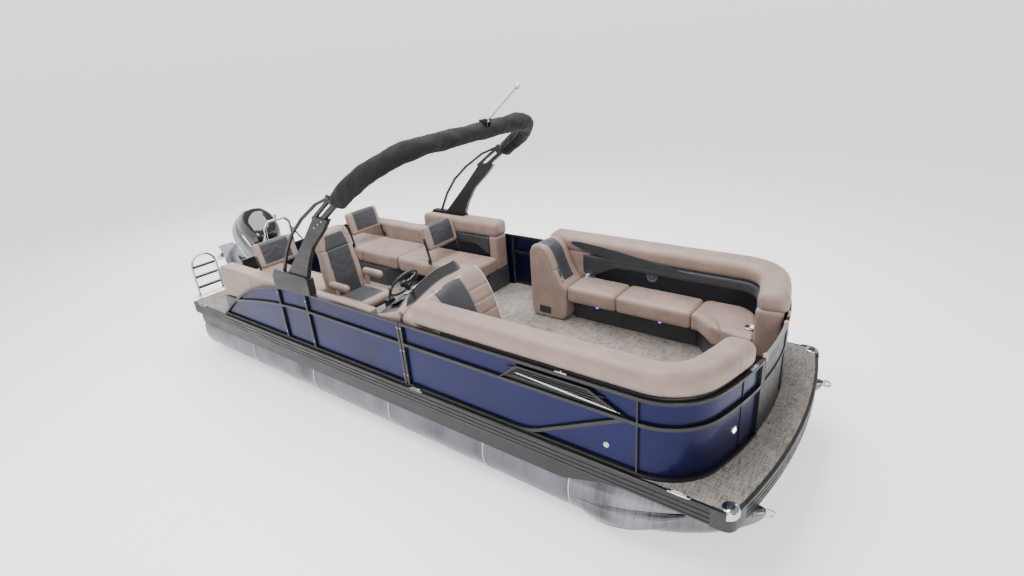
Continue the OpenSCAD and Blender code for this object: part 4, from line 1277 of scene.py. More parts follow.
    def cleat(self, at: float, side: Side) -> Shape:
        """Flush pull-up cleat: an oval plate with a crossbar."""
        middle = (at, self.beam / 2 - 0.0195, 0.004)
        plate = Pad(
            (0.165, 0.03, 0.01), radius=0.0045, crown=0.001, bulge=0.003, wrinkle=0, fineness=0.008
        ).shape()
        horn = bar(
            [[-0.055, 0, 0.005], [-0.03, 0, 0.0125], [0.03, 0, 0.0125], [0.055, 0, 0.005]], 0.0055, 20, 10
        )
        return (plate + horn).mapped(lambda p: p + np.array(middle)).on(side)

    def build(self) -> None:
        """Makes the hull's pieces and dresses the CAD nodes that stay."""
        for side in Side:
            self.tube(side).build()
            self.corner_casting(side).build()
        self.rub_rail().build()
        cleats = join([self.cleat(at, side) for side in Side for at in (0.26, 4.30, 6.88)])
        Piece("flush_cleats", cleats, (CHROME,), stands_for=("cleats",)).build()
        carry("deck", FLOOR)
        carry("cross_members", WELD)
        carry("bow_eyes", CHROME)
        soften("corner_caps", CASTING, 1.5 * MM)
        soften("motor_pod", TUBE_METAL, 6 * MM)
        soften("side_skirts", SKIRT, 1.5 * MM)


# ---------------------------------------------------------------- fence


@dataclass
class FenceLine:
    """The fence's outer face in plan: a straight side, a round corner and a wide bow arch."""

    half: float = 1.262
    front: float = 7.16
    corner_x: float = 6.546
    corner_r: float = 0.5
    bow_r: float = 3.1

    def place(self, x: Array, inset: Array, z: Array) -> Array:
        """Points inset from the port face at a distance x along it.

        The distance is x itself on the straight side, goes on along the corner arc and then along the bow arch.

        Args:
            x: distance along the face from the deck's stern edge.
            inset: distance inwards from it.
            z: height.

        Returns:
            Points by three.
        """
        x, inset, z = np.broadcast_arrays(np.asarray(x, float), inset, z)
        cy = self.half - self.corner_r
        tip = math.atan2(cy, self.corner_x - self.front + self.bow_r)
        arc = self.corner_r * (math.pi / 2 - tip)
        past = x - self.corner_x
        turn = math.pi / 2 - np.clip(past, 0, arc) / self.corner_r
        over = tip - np.maximum(past - arc, 0) / self.bow_r
        px = np.where(
            past <= 0,
            x,
            np.where(
                past <= arc,
                self.corner_x + (self.corner_r - inset) * np.cos(turn),
                self.front - self.bow_r + (self.bow_r - inset) * np.cos(over),
            ),
        )
        py = np.where(
            past <= 0,
            self.half - inset,
            np.where(
                past <= arc, cy + (self.corner_r - inset) * np.sin(turn), (self.bow_r - inset) * np.sin(over)
            ),
        )
        return np.stack([px, py, z], -1)

    def reach(self, y: float) -> float:
        """Distance along the face at which it has come in to y, on the bow arch."""
        cy = self.half - self.corner_r
        tip = math.atan2(cy, self.corner_x - self.front + self.bow_r)
        arc = self.corner_r * (math.pi / 2 - tip)
        return self.corner_x + arc + self.bow_r * (tip - math.asin(y / self.bow_r))

    def run(
        self, start: float, end: float, inset: tuple[float, float], z: tuple[float, float], radius: float,
        fineness: float = 0.02, bend: Callable[[Array, Array, Array], tuple[Array, Array]] | None = None,
        ends: float | None = None, seams: Sequence[float] = (),
    ) -> Shape:
        """Rounded block bent along the fence.

        Args:
            start: distance along the face where it begins.
            end: where it ends.
            inset: its outer and inner face's distance in from the fence's face.
            z: its lowest and highest height.
            radius: of its edges.
            fineness: size of a lattice space.
            bend: takes distance, inset and height and returns a new inset and height.
            ends: how long the rounding of its two ends is, if longer than the radius.
            seams: distances along the face where a seam runs round it.

        Returns:
            The closed surface.
        """
        size = np.array([end - start, inset[1] - inset[0], z[1] - z[0]])
        middle = (start + end) / 2
        lines = [
            stations(max(10, round(size[0] / 0.03)), size[0] / 2, [s - middle for s in seams]),
            stations(max(6, round(size[1] / fineness)), size[1] / 2),
            stations(max(6, round(size[2] / fineness)), size[2] / 2),
        ]
        points, quads = block(size, radius, lines)
        u = points[:, 0]
        if ends:
            near = np.clip((size[0] / 2 - np.abs(u)) / ends, 0, 1)
            points[:, 1:] *= np.sqrt(1 - (1 - near) ** 2 * 0.999)[:, None]
        pinch = sum((groove(u - (s - middle)) for s in seams), np.zeros(len(u)))
        points[:, 1:] *= (1 - 0.05 * pinch)[:, None]
        s, d, h = middle + u, sum(inset) / 2 + points[:, 1], sum(z) / 2 + points[:, 2]
        if bend is not None:
            d, h = bend(s, d, h)
        return Shape(self.place(s, d, h), [(quads, np.zeros(len(quads), int))]).outward()


@dataclass
class Fence:
    """Rails, panels and gates round the deck, with their lamps and fittings."""

    line: FenceLine = field(default_factory=FenceLine)
    top: float = 0.68
    mid: float = 0.47
    bar: float = 0.03
    joint_x: float = 4.17
    post_x: tuple[float, ...] = (2.205, 2.715)

    def rails(self) -> None:
        """Eases the edges of every rail frame and gate, and paints the panels."""
        for node in (
            "starboard_aft_frame", "starboard_bow_frame", "port_aft_frame", "port_bow_frame", "stern_fence"
        ):
            soften(node, RAIL, 4 * MM)
        for node in ("starboard_aft_panel", "starboard_bow_panel", "port_aft_panel", "port_bow_panel"):
            carry(node, NAVY)
        soften("bow_gate", ARCH_PAINT, 4 * MM)
        for node in ("port_gate", "stern_gate"):
            soften(node, RAIL, 4 * MM)

    def gate_skins(self) -> None:
        """Painted skins on both sides of each gate's plate."""
        skin = 1.2 * MM
        for node, body, cut in (("port_gate", "port_gate", 0.028), ("stern_gate", "stern_gate", 0.028)):
            low, high = (np.array(v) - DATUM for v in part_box(node))
            size = high - low
            thin = int(np.argmin(size))
            size = size - 2 * cut
            size[thin] = 0.004 + 2 * skin
            skins = []
            for z0, z1 in ((low[2] + cut, 0.44), (0.47, high[2] - cut)):
                part = Pad(
                    (size[0], size[1], z1 - z0), radius=0.0008, crown=0, bulge=0, wrinkle=0, fineness=0.05
                ).shape()
                skins.append(
                    part.mapped(lambda p, z=(z0 + z1) / 2: p + np.array([*((low + high) / 2)[:2], z]))
                )
            Piece(node + "_skin", join(skins), (NAVY,), body=body).build()

    def sill(self, side: Side) -> Shape:
        """Painted highlight: a lighter line along the crown of the top rail, where its round crown catches the light.
        """
        start = 2.35
        stop = self.line.reach(0.35)
        s = np.linspace(start, stop, 160)
        keep = np.ones(len(s), bool) if side is Side.STARBOARD else (s < 3.62) | (s > 4.33)
        parts = []
        for run in np.split(s, np.where(np.diff(keep.astype(int)))[0] + 1):
            inside = run[(run < 3.62) | (run > 4.33)] if side is Side.PORT else run
            if len(inside) > 3:
                parts.append(sweep(circle(0.0032, 8), self.line.place(inside, -0.0005, self.top - 0.006)))
        return join(parts).on(side)

    def accent_strip(self, side: Side) -> Piece:
        """Polished spear in the dark accent above the mid rail, with a slatted vent behind it whose slats are in the
        painted-highlight rail tone.
        """
        x0, x1 = 5.50, 6.42
        s = np.linspace(x0, x1, 40)
        share = (s - x0) / (x1 - x0)
        width = 0.0065 * np.sin(math.pi * np.clip(share * 0.93 + 0.05, 0, 1)) ** 0.6 + 0.0015
        path = self.line.place(s, 0.002, self.mid + 0.085 - 0.055 * share)
        strip = sweep(circle(1.0, 10, 0.45), path, up=(0, 1, 0), scale=width)
        # The slats are drawn in the lighter rail tone of the painted highlights
        slats = [
            sweep(
                circle(0.004, 8), self.line.place(
                    np.linspace(x0 - 0.1, x1 - 0.25 + 0.04 * k, 20), 0.012, self.mid + 0.045 + 0.022 * k
                )
            ).tagged(1)
            for k in range(4)
        ]
        return Piece(f"accent_spear_{side.word}", join([strip, *slats]).on(side), (CHROME, RAIL_HIGHLIGHT))

    def bolts(self) -> Piece:
        """Button-head bolts at the joint posts and at two posts aft of them."""
        heads = []
        for side in Side:
            spots = [
                (self.joint_x - 0.015, z) for z in (0.12, 0.38, 0.62)
            ] + [(self.joint_x + 0.027, z) for z in (0.12, 0.38, 0.62)]
            spots += [(x + 0.015, z) for x in self.post_x for z in (0.10, 0.58)]
            for x, z in spots:
                if side is Side.PORT and 3.60 < x < 4.34:
                    continue
                foot = self.line.place(np.array([x]), 0.0, z)[0]
                heads.append(
                    turned(
                        [[0.007, -0.001], [0.007, 0.001], [0.005, 0.003], [0.001, 0.0035]], foot, (0, 1, 0),
                        12
                    ).on(side)
                )
        return Piece("fence_bolts", join(heads), (CHROME,))

    def seams(self) -> Piece:
        """Dark cover strips over the panels' joints at the corners, and the rails' caps beside the gate."""
        strips = []
        for side in Side:
            for s in (self.line.corner_x + 0.005, self.line.reach(0.62)):
                path = self.line.place(np.full(12, s), 0.022, np.linspace(0.03, 0.65, 12))
                strips.append(
                    sweep(
                        np.array([[-0.005, -0.002], [0.005, -0.002], [0.005, 0.002], [-0.005, 0.002]]), path,
                        up=(1, 0, 0)
                    ).on(side)
                )
        return Piece("panel_cover_strips", join(strips), (RAIL,))

    def lamp(self, s: float, z: float, radius: float, side: Side) -> tuple[Shape, Shape]:
        """Bezel and lens of a round lamp on the fence's face.

        Args:
            s: distance along the face.
            z: height.
            radius: of the bezel.
            side: of the boat.

        Returns:
            The bezel and the lens.
        """
        foot = self.line.place(np.array([s]), 0.027, z)[0]
        ahead = self.line.place(np.array([s]), 0.0, z)[0] - foot
        bezel = turned(
            [
                [radius, -0.002], [radius, 0.006], [radius * 0.86, 0.012], [radius * 0.72, 0.009],
                [radius * 0.66, 0.004]
            ],
            foot, ahead, 32,
        )
        lens = turned(
            [[radius * 0.7, 0.002], [radius * 0.6, 0.008], [radius * 0.3, 0.011], [0.001, 0.012]], foot,
            ahead, 32
        )
        return bezel.on(side), lens.on(side)

    def lamps(self) -> None:
        """Docking lamps on the bow face, and the side lamps, green to starboard and red to port."""
        for side in Side:
            bezel, lens = self.lamp(self.line.reach(0.70), 0.24, 0.034, side)
            Piece(f"docking_lamp_{side.word}", bezel + lens.tagged(1), (CHROME, WHITE_LAMP)).build()
            bezel, lens = self.lamp(6.30, 0.165, 0.024, side)
            colour = GREEN_LAMP if side is Side.STARBOARD else RED_LAMP
            Piece(f"side_lamp_{side.word}", bezel + lens.tagged(1), (CHROME, colour)).build()

    def fittings(self) -> None:
        """Cover snaps on the top rail, and the bow gate's rubber stops and grey top rail."""
        snaps = []
        for side in Side:
            for s in (5.93, self.line.reach(0.50)):
                foot = self.line.place(np.array([s]), 0.012, self.top)[0]
                plate = Pad(
                    (0.11, 0.022, 0.006), radius=0.0025, crown=0.001, bulge=0, wrinkle=0, fineness=0.01
                ).shape()
                nub = turned(
                    [[0.008, 0.0], [0.008, 0.008], [0.005, 0.011], [0.001, 0.012]], (0, 0, 0.002), (0, 0, 1),
                    16
                )
                ahead = self.line.place(np.array([s + 0.01]), 0.012, self.top)[0] - foot
                snaps.append(
                    (plate + nub).mapped(
                        placed(foot + np.array([0, 0, 0.002]), ahead, np.cross((0, 0, 1), ahead))
                    ).on(side)
                )
        Piece("cover_snaps", join(snaps), (CHROME,)).build()
        y = np.linspace(-0.30, 0.30, 40)
        front = self.line.front - self.line.bow_r + np.sqrt((self.line.bow_r - 0.0125) ** 2 - y**2)
        path = np.column_stack([front, y, np.full(40, self.top + 0.004)])
        cap = sweep(
            round_corners([[-0.014, -0.008], [0.014, -0.008], [0.014, 0.006], [-0.014, 0.006]], 0.006, 24),
            path
        )
        ends = [
            turned(
                [[0.016, -0.001], [0.019, 0.004], [0.019, 0.05], [0.015, 0.056], [0.001, 0.057]],
                (front[0] + 0.001, s * 0.305, self.top - 0.03), (0, 0, 1), 20
            ).tagged(1)
            for s in (-1, 1)
        ]
        Piece("bow_gate_cap", join([cap, *ends]), (GREY_PLASTIC, TAN_RUBBER), body="bow_gate").build()

    def build(self) -> None:
        """Makes the fence's pieces and dresses its CAD nodes."""
        self.rails()
        self.gate_skins()
        for side in Side:
            # Painted highlight line along each top rail's crown
            Piece(f"top_rail_edge_{side.word}", self.sill(side), (RAIL_HIGHLIGHT,)).build()
            self.accent_strip(side).build()
        self.bolts().build()
        self.seams().build()
        self.lamps()
        self.fittings()

# ---------------------------------------------------------------- bow lounges


@dataclass
class BowLounge:
    """Seats, backrests and fittings along one side of the bow."""

    side: Side
    line: FenceLine = field(default_factory=FenceLine)
    start: float = 4.825
    split: float = 0.59
    lid: float = 0.81
    front_y: float = 0.6025
    back_y: float = 1.0025
    end_y: float = 0.423
    base_h: float = 0.252
    seat_h: float = 0.44
    roll: tuple[float, float] = (0.682, 0.880)
    depth: float = 0.2595

    @property
    def roll_start(self) -> float:
        """Where the roll begins: behind the chaise to port, over the console's foot to starboard."""
        return 4.345 if self.side is Side.PORT else 4.30

    def top_roll(self) -> Piece:
        """Fat roll over the fence, fuller outboard, with a seam near the gate and a round aft end."""
        stop = self.line.reach(self.end_y)

        def lean(s: Array, inset: Array, z: Array) -> tuple[Array, Array]:
            """The crown slopes a little inboard, and the inner flank leans in as it rises."""
            rise = np.clip((z - self.roll[0]) / (self.roll[1] - self.roll[0]), 0, 1)
            across = np.clip(inset / self.depth, 0, 1)
            return inset + 0.012 * rise * across, z - 0.020 * rise * across**2 + 0.006 * np.sin(
                math.pi * across
            ) * rise

        shape = self.line.run(
            self.roll_start, stop, (0.010, self.depth), (
                self.roll[0] + 0.001, self.roll[1]
            ), 0.074, 0.016, lean,
            ends=0.10 if self.side is Side.STARBOARD else None, seams=(stop - 0.30,),
        )
        name = f"{self.side.word}_bow_roll"
        return Piece(
            name, shape.on(self.side), (TAUPE,), stands_for=(f"{self.side.word}_bow_backrest",), fill=0.9
        )

    def end_panel(self) -> Piece:
        """Upright padded end of the backrest beside the gate."""
        stop = self.line.reach(self.end_y)
        shape = self.line.run(
            stop - 0.10, stop - 0.002, (0.046, self.depth + 0.012),
            (self.base_h + 0.004, self.roll[0] + 0.03), 0.03, 0.02
        )
        return Piece(f"{self.side.word}_bow_end_panel", shape.on(self.side), (TAUPE,), fill=0.8)

    def back_shell(self) -> Piece:
        """Black inner panel behind the recess, from the seat base up to the roll."""
        first = self.start if self.side is Side.PORT else 4.66
        shape = self.line.run(
            first, self.line.reach(self.end_y) - 0.10, (0.046, 0.150), (self.base_h + 0.004, 0.684), 0.01,
            0.03
        )
        return Piece(f"{self.side.word}_bow_back_shell", shape.on(self.side), (DEEP_VINYL,))

    def recess(self) -> tuple[float, float]:
        """Where along the fence the lit recess begins and ends."""
        return 5.02, self.line.reach(0.86)

    def band(self) -> Piece:
        """Padded charcoal band under the roll, arched over the recess, with a stitch line along it."""
        low, high = self.recess()
        first, stop = (
            self.start - 0.02 if self.side is Side.PORT else 4.70
        ), self.line.reach(self.end_y) - 0.098

        def arch(s: Array, inset: Array, z: Array) -> tuple[Array, Array]:
            """The lower edge rises over the recess by a smooth step at each end, and the face is full in its middle."""
            ramp = np.clip((s - low + 0.10) / 0.34, 0, 1) * np.clip((high + 0.06 - s) / 0.30, 0, 1)
            step = ramp * ramp * (3 - 2 * ramp)
            foot = 0.446 + 0.132 * step
            share = np.clip((z - 0.446) / (0.690 - 0.446), 0, 1)
            new = foot + (0.690 - foot) * share
            face = np.clip((inset - 0.15) / 0.12, 0, 1)
            stitch = groove((share - 0.52) * (0.690 - foot), 0.005)
            return inset - 0.006 * stitch * face + 0.012 * face * np.sin(math.pi * share), new

        shape = self.line.run(first, stop, (0.148, 0.262), (0.446, 0.690), 0.03, 0.010, arch)
        return Piece(f"{self.side.word}_bow_band", shape.on(self.side), (CHARCOAL,), fill=0.7)

    def stitch_line(self) -> Piece:
        """Pale double thread that follows the band's seam."""
        low, high = self.recess()
        s = np.linspace(self.start + 0.06, self.line.reach(self.end_y) - 0.13, 220)
        ramp = np.clip((s - low + 0.10) / 0.34, 0, 1) * np.clip((high + 0.06 - s) / 0.30, 0, 1)
        foot = 0.446 + 0.132 * ramp * ramp * (3 - 2 * ramp)
        z = foot + (0.690 - foot) * 0.52
        threads = [
            sweep(circle(0.0021, 6), self.line.place(s, 0.2665 + 0.0015, z + gap)) for gap in (-0.006, 0.006)
        ]
        return Piece(f"{self.side.word}_bow_thread", join(threads).on(self.side), (THREAD,))

    def wing(self) -> Piece:
        """Charcoal blade on the roll's inner flank: pointed aft, widest by a third of its run, then into the band."""
        s0, s1 = self.start - 0.16, 6.05

        def blade(s: Array, inset: Array, z: Array) -> tuple[Array, Array]:
            """Height follows a lens about a line that falls from the roll's flank to the band."""
            t = np.clip((s - s0) / (s1 - s0), 0, 1)
            middle = 0.808 - 0.150 * t**0.8
            half = 0.052 * np.sin(math.pi * np.clip(t, 0, 1) ** 0.62) ** 0.8 + 0.002
            share = np.clip((z - 0.74) / 0.05, -1, 1)
            flank = self.depth + 0.010 + 0.006 * np.sin(math.pi * t)
            return np.where(inset > 0.25, flank, flank - 0.03), middle + half * share

        shape = self.line.run(s0, s1, (0.22, 0.27), (0.69, 0.79), 0.006, 0.012, blade)
        return Piece(f"{self.side.word}_bow_wing", shape.on(self.side), (CHARCOAL,), fill=0.6)

    def aft_filler(self) -> Piece:
        """Taupe inner face of the backrest between the chaise and the band."""
        first = 4.36 if self.side is Side.PORT else 4.66
        shape = self.line.run(
            first, self.start + 0.08, (0.10, 0.250), (self.base_h + 0.006, 0.700), 0.02, 0.02
        )
        return Piece(f"{self.side.word}_bow_back_filler", shape.on(self.side), (TAUPE,), fill=0.8)

    def cushion(self, name: str, x0: float, x1: float, body: str, node: str) -> Piece:
        """Straight seat cushion from the front edge to the backrest."""
        gap = 0.003
        size = (x1 - x0 - 2 * gap, self.back_y - 0.006 - self.front_y, self.seat_h - self.base_h - 0.006)
        pad = Pad(
            size, radius=0.042, crown=0.016, bulge=0.007, wide_seams=(-size[1] / 2 + 0.045,), seam_depth=0.006
        )
        middle = np.array(
            [(x0 + x1) / 2, (self.front_y + self.back_y - 0.006) / 2, (self.base_h + self.seat_h - 0.006) / 2]
        )
        shape = pad.shape().mapped(lambda p: p + middle)
        return Piece(name, shape.on(self.side), (TAUPE,), body=body, stands_for=(node,), fill=0.8)

    def bow_cushion(self) -> Shape:
        """Forward cushion between the cut corner and the fence's curve, with the seam of its front piece."""
        x0 = self.start + self.split + self.lid + 0.003
        pad = Pad(
            (0.62, 0.46, self.seat_h - self.base_h - 0.006), radius=0.042, crown=0.014, bulge=0.004,
            wide_seams=(-0.125,), seam_depth=0.016, fineness=0.014
        )
        shape = pad.shape()
        half = np.array([0.31, 0.23])
        u = (shape.points[:, 0] / half[0] + 1) / 2
        v = (shape.points[:, 1] / half[1] + 1) / 2
        stop = self.line.reach(self.end_y + 0.006)
        outer = self.line.place(x0 + (stop - x0) * u, 0.2655, 0.0)
        k = np.clip(u * 3.3, 0, 1)
        inner = np.stack(
            [
                x0 + 0.062 * k + 0.192 * np.clip((u - 0.25) / 0.75, 0, 1),
                self.front_y - 0.176 * np.clip((u - 0.25) / 0.75, 0, 1)
            ],
            1
        )
        plan = inner + (outer[:, :2] - inner) * v[:, None]
        z = shape.points[:, 2] + (self.base_h + self.seat_h - 0.006) / 2
        return Shape(np.column_stack([plan, z]), shape.faces).outward()

    def seats(self) -> None:
        """The two fixed cushions, and the lid cushion on its own body."""
        word = self.side.word
        a, b = self.start, self.start + self.split
        self.cushion(f"{word}_bow_lid_cushion", b, b + self.lid, f"{word}_bow_lid", f"{word}_bow_lid").build()
        aft = self.cushion("aft", a, b, "boat", f"{word}_bow_seat").shape
        both = aft + self.bow_cushion().on(self.side)
        Piece(f"{word}_bow_cushions", both, (TAUPE,), stands_for=(f"{word}_bow_seat",), fill=0.8).build()

    def recess_fittings(self) -> None:
        """Speaker, cup holders, charging socket and the lamps under the band."""
        word = self.side.word
        at = self.line.place(np.array([5.60]), 0.150, 0.512)[0]
        inward = np.array([0.0, -1.0, 0.0])
        cone = turned(
            [
                [0.062, -0.004], [0.064, 0.006], [0.058, 0.011], [0.050, 0.006], [0.046, 0.004],
                [0.030, -0.002], [0.022, 0.004], [0.012, 0.009], [0.001, 0.010]
            ],
            at, inward, 40,
        )
        spokes = [
            bar(
                [
                    at + np.array([0.018 * math.cos(a), -0.010, 0.018 * math.sin(a)]),
                    at + np.array([0.055 * math.cos(a), -0.009, 0.055 * math.sin(a)])
                ],
                0.0022, 2, 6, up=(0, 1, 0), smooth=False
            )
            for a in np.linspace(0, 2 * math.pi, 12, endpoint=False)
        ]
        Piece(f"{word}_speaker", join([cone, *spokes]).on(self.side), (GREY_PLASTIC,)).build()
        socket = turned(
            [[0.020, -0.002], [0.020, 0.014], [0.015, 0.020], [0.001, 0.016]],
            self.line.place(np.array([5.33]), 0.150, 0.535)[0], inward, 20
        )
        hood = Pad((0.045, 0.012, 0.03), radius=0.005, crown=0, bulge=0, wrinkle=0, fineness=0.01).shape().mapped(
            lambda p: p + self.line.place(np.array([5.33]), 0.158, 0.535)[0]
        )
        Piece(f"{word}_charging_socket", join([socket, hood]).on(self.side), (PLASTIC,)).build()
        lamps = [
            bar(
                self.line.place(np.array([s - 0.05, s, s + 0.05]), 0.156, 0.585), 0.0055, 6, 8, up=(0, 0, 1)
            ) for s in (5.42, 5.82, 6.22)
        ]
        Piece(f"{word}_recess_lamps", join(lamps).on(self.side), (PURPLE_LAMP,)).build()
        cups = []
        for s, inset in ((self.start + 0.06, 0.30), (self.line.reach(0.62), 0.31)):
            foot = self.line.place(np.array([s]), inset, self.seat_h + 0.002)[0]
            cups.append(
                turned(
                    [
                        [0.047, -0.004], [0.050, 0.006], [0.046, 0.011], [0.040, 0.008], [0.037, -0.002],
                        [0.035, -0.006], [0.001, -0.007]
                    ],
                    foot, (0, 0, 1), 32
                )
            )
        Piece(f"{word}_cup_holders", join(cups).on(self.side), (CHROME,)).build()

    def base(self) -> None:
        """Charcoal base with welted joints and two courtesy lamps."""
        word = self.side.word
        soften(f"{word}_bow_base", CHARCOAL, 8 * MM)
        foot_y = 0.7625
        lamps, welts = [], []
        for x in (5.12, 5.85):
            lamps.append(
                turned(
                    [[0.017, -0.002], [0.017, 0.004], [0.010, 0.009], [0.001, 0.010]], (x, foot_y, 0.185),
                    (0, -1, 0), 24
                )
            )
        Piece(f"{word}_base_lamps", join(lamps).on(self.side), (PURPLE_LAMP,)).build()
        for x in (self.start + 0.02, self.start + self.split, 6.24):
            welts.append(
                bar(
                    [[x, foot_y - 0.001, 0.01], [x, foot_y - 0.001, 0.245]], 0.004, 8, 8, up=(0, 1, 0),
                    smooth=False
                )
            )
        welts.append(
            bar(
                [[self.start, foot_y - 0.001, 0.225], [6.24, foot_y - 0.001, 0.225]], 0.0035, 30, 8,
                smooth=False
            )
        )
        Piece(f"{word}_base_welts", join(welts).on(self.side), (PIPING,)).build()

    def build(self) -> None:
        """Makes one side's lounge."""
        for piece in (
            self.top_roll(), self.end_panel(), self.back_shell(), self.band(), self.stitch_line(),
            self.wing(), self.aft_filler()
        ):
            piece.build()
        self.seats()
        self.recess_fittings()
        self.base()


@dataclass
class PortChaise:
    """Padded end unit that the port bow lounge's sitter leans on."""

    x: float = 4.343
    length: float = 0.48
    y0: float = 0.6045
    y1: float = 0.9945
    insert: tuple[float, float] = (0.70, 0.90)

    def outline(self) -> Array:
        """Side view: upright back, round head and a front that runs down and out into the seat."""
        x = self.x
        return round_corners(
            [
                [x, 0.004], [x + 0.46, 0.004], [x + 0.475, 0.30], [x + 0.475, 0.40], [x + 0.40, 0.47],
                [x + 0.335, 0.60], [x + 0.275, 0.76], [x + 0.215, 0.84], [x + 0.13, 0.868], [x + 0.05, 0.845],
                [x + 0.002, 0.78]
            ],
            0.10, 200,
        )

    def build(self) -> None:
        """Makes the end unit, its insert, bolsters, strap, vent and seams."""
        flat = self.outline()
        lines = end_lines(
            self.y0, self.y1, 0.03, 40, [e + k * 0.004 for e in self.insert for k in (-2, -1, 0, 1, 2)]
        )
        across_mid = sum(self.insert) / 2
        upper = (flat[:, 1] > 0.47) & (flat[:, 0] > self.x + 0.03)

        def relief(y: Array, number: Array) -> Array:
            """Seams beside the insert, its own fullness, and V stitching where the front slopes."""
            on_face = upper[number]
            edge = sum(groove(y - e, 0.005) for e in self.insert)
            inside = (y > self.insert[0]) & (y < self.insert[1])
            z = flat[number, 1]
            vee = sum(groove(chevron(y - across_mid, z, 0.1, level), 0.005) for level in (0.60, 0.66))
            full = 0.008 * np.cos(np.clip((y - across_mid) / 0.1, -1, 1) * math.pi / 2)
            bolster = 0.012 * np.clip(
                np.sin((y - self.y0) / (self.insert[0] - self.y0) * math.pi), 0, 1
            ) * (y < self.insert[0])
            rib = groove(z - 0.60, 0.01) * (y < self.insert[0]) * 0.012
            return on_face * (np.where(inside, full - 0.006 * vee, bolster - rib) - 0.012 * edge)

        shape = loft(lambda ys: np.broadcast_to(flat, (len(ys), *flat.shape)), lines, 0.03, relief)
        shape = shape.tagged_where(
            1, lambda p: (
                p[:, 1] > self.insert[0]
            ) & (p[:, 1] < self.insert[1]) & (p[:, 2] > 0.47) & (p[:, 0] > self.x + 0.06)
        )
        Piece("port_chaise_unit", shape, (TAUPE, CHARCOAL), stands_for=("port_chaise",), fill=0.85).build()
        y = self.y0 - 0.001
        vent = Pad(
            (0.15, 0.008, 0.085), radius=0.003, crown=0, bulge=0, wrinkle=0, fineness=0.03
        ).shape().mapped(lambda p: p + np.array([self.x + 0.19, y, 0.10]))
        slats = [
            bar(
                [[self.x + 0.125, y - 0.004, z], [self.x + 0.255, y - 0.004, z]], 0.0025, 4, 6, smooth=False
            ) for z in np.linspace(0.07, 0.13, 5)
        ]
        Piece("chaise_vent", join([vent, *slats]), (PLASTIC,)).build()
        x = self.x
        seam = [
            [x + 0.05, y, 0.02], [x + 0.05, y, 0.70], [x + 0.10, y, 0.79], [x + 0.18, y, 0.77],
            [x + 0.27, y, 0.60], [x + 0.34, y, 0.42], [x + 0.42, y, 0.25], [x + 0.42, y, 0.02]
        ]
        piping = bar(seam, 0.0028, 120, 8, up=(0, 1, 0))
        strap = bar(
            [
                [x + 0.345, 0.655, 0.60], [x + 0.375, 0.652, 0.575], [x + 0.385, 0.65, 0.54],
                [x + 0.375, 0.65, 0.50]
            ],
            0.007, 20, 10, up=(0, 1, 0)
        )
        Piece(
            "chaise_welts", join([piping]),
            (MarineVinyl("marine_vinyl_welt", "#8f8076", 0.5, slot="taupe_vinyl"),)
        ).build()
        Piece("chaise_pull_strap", strap, (PIPING,)).build()


# ---------------------------------------------------------------- stern


@dataclass
class FlipBack:
    """Backrest that swings between facing forward and aft on an arm at each end."""

    node: str
    x: float
    side: Side
    y: float = 0.440
    width: float = 0.52
    pivot_z: float = 0.478
    lean: float = 14.0
    low: float = 0.13
    high: float = 0.44
    thick: float = 0.10

    def build(self) -> None:
        """Makes the padded back with its wrapped insert, stitching, and two flat arms."""
        middle = self.y + self.width / 2
        turn = math.radians(self.lean)
        rise = np.array([-math.sin(turn), 0, math.cos(turn)])
        ahead = np.array([math.cos(turn), 0, math.sin(turn)])
        pivot = np.array([self.x, middle, self.pivot_z])
        stand = placed(pivot + rise * (self.low + self.high) / 2, (0, 1, 0), rise)
        tall = self.high - self.low
        edge = (-0.175, 0.205)
        pad = Pad(
            (self.width, tall, self.thick), radius=0.036, crown=0.012, bulge=0.004, long_seams=edge,
            seam_depth=0.008, fineness=0.012
        )
        shape = pad.shape()
        x, y, z = shape.points.T
        face = np.clip((z + 0.01) / 0.03, 0, 1)
        inside = (x > edge[0]) & (x < edge[1])
        vee = sum(groove(chevron(x - sum(edge) / 2, -y, 0.12, level), 0.005) for level in (-0.10, -0.02))
        shape = Shape(np.stack([x, y, z - 0.007 * vee * face * inside], 1), shape.faces)
        shape = shape.tagged_where(
            1, lambda p: (p[:, 0] > edge[0]) & (p[:, 0] < edge[1]) & (p[:, 1] > -tall / 2 + 0.045)
        )
        arms = []
        for at in (-0.010, self.width + 0.010):
            arm = Pad((0.036, 0.32, 0.008), radius=0.003, crown=0, bulge=0, wrinkle=0, fineness=0.03).shape()
            foot = np.array([self.x, self.y + at, self.pivot_z]) + rise * 0.140
            arms.append(arm.mapped(placed(foot, ahead, rise)).tagged(2))
        whole = join([shape.mapped(stand), *arms]).on(self.side)
        Piece(
            self.node + "_pad", whole, (TAUPE, CHARCOAL, PLASTIC), body=self.node, stands_for=(self.node,),
            fill=0.85
        ).build()


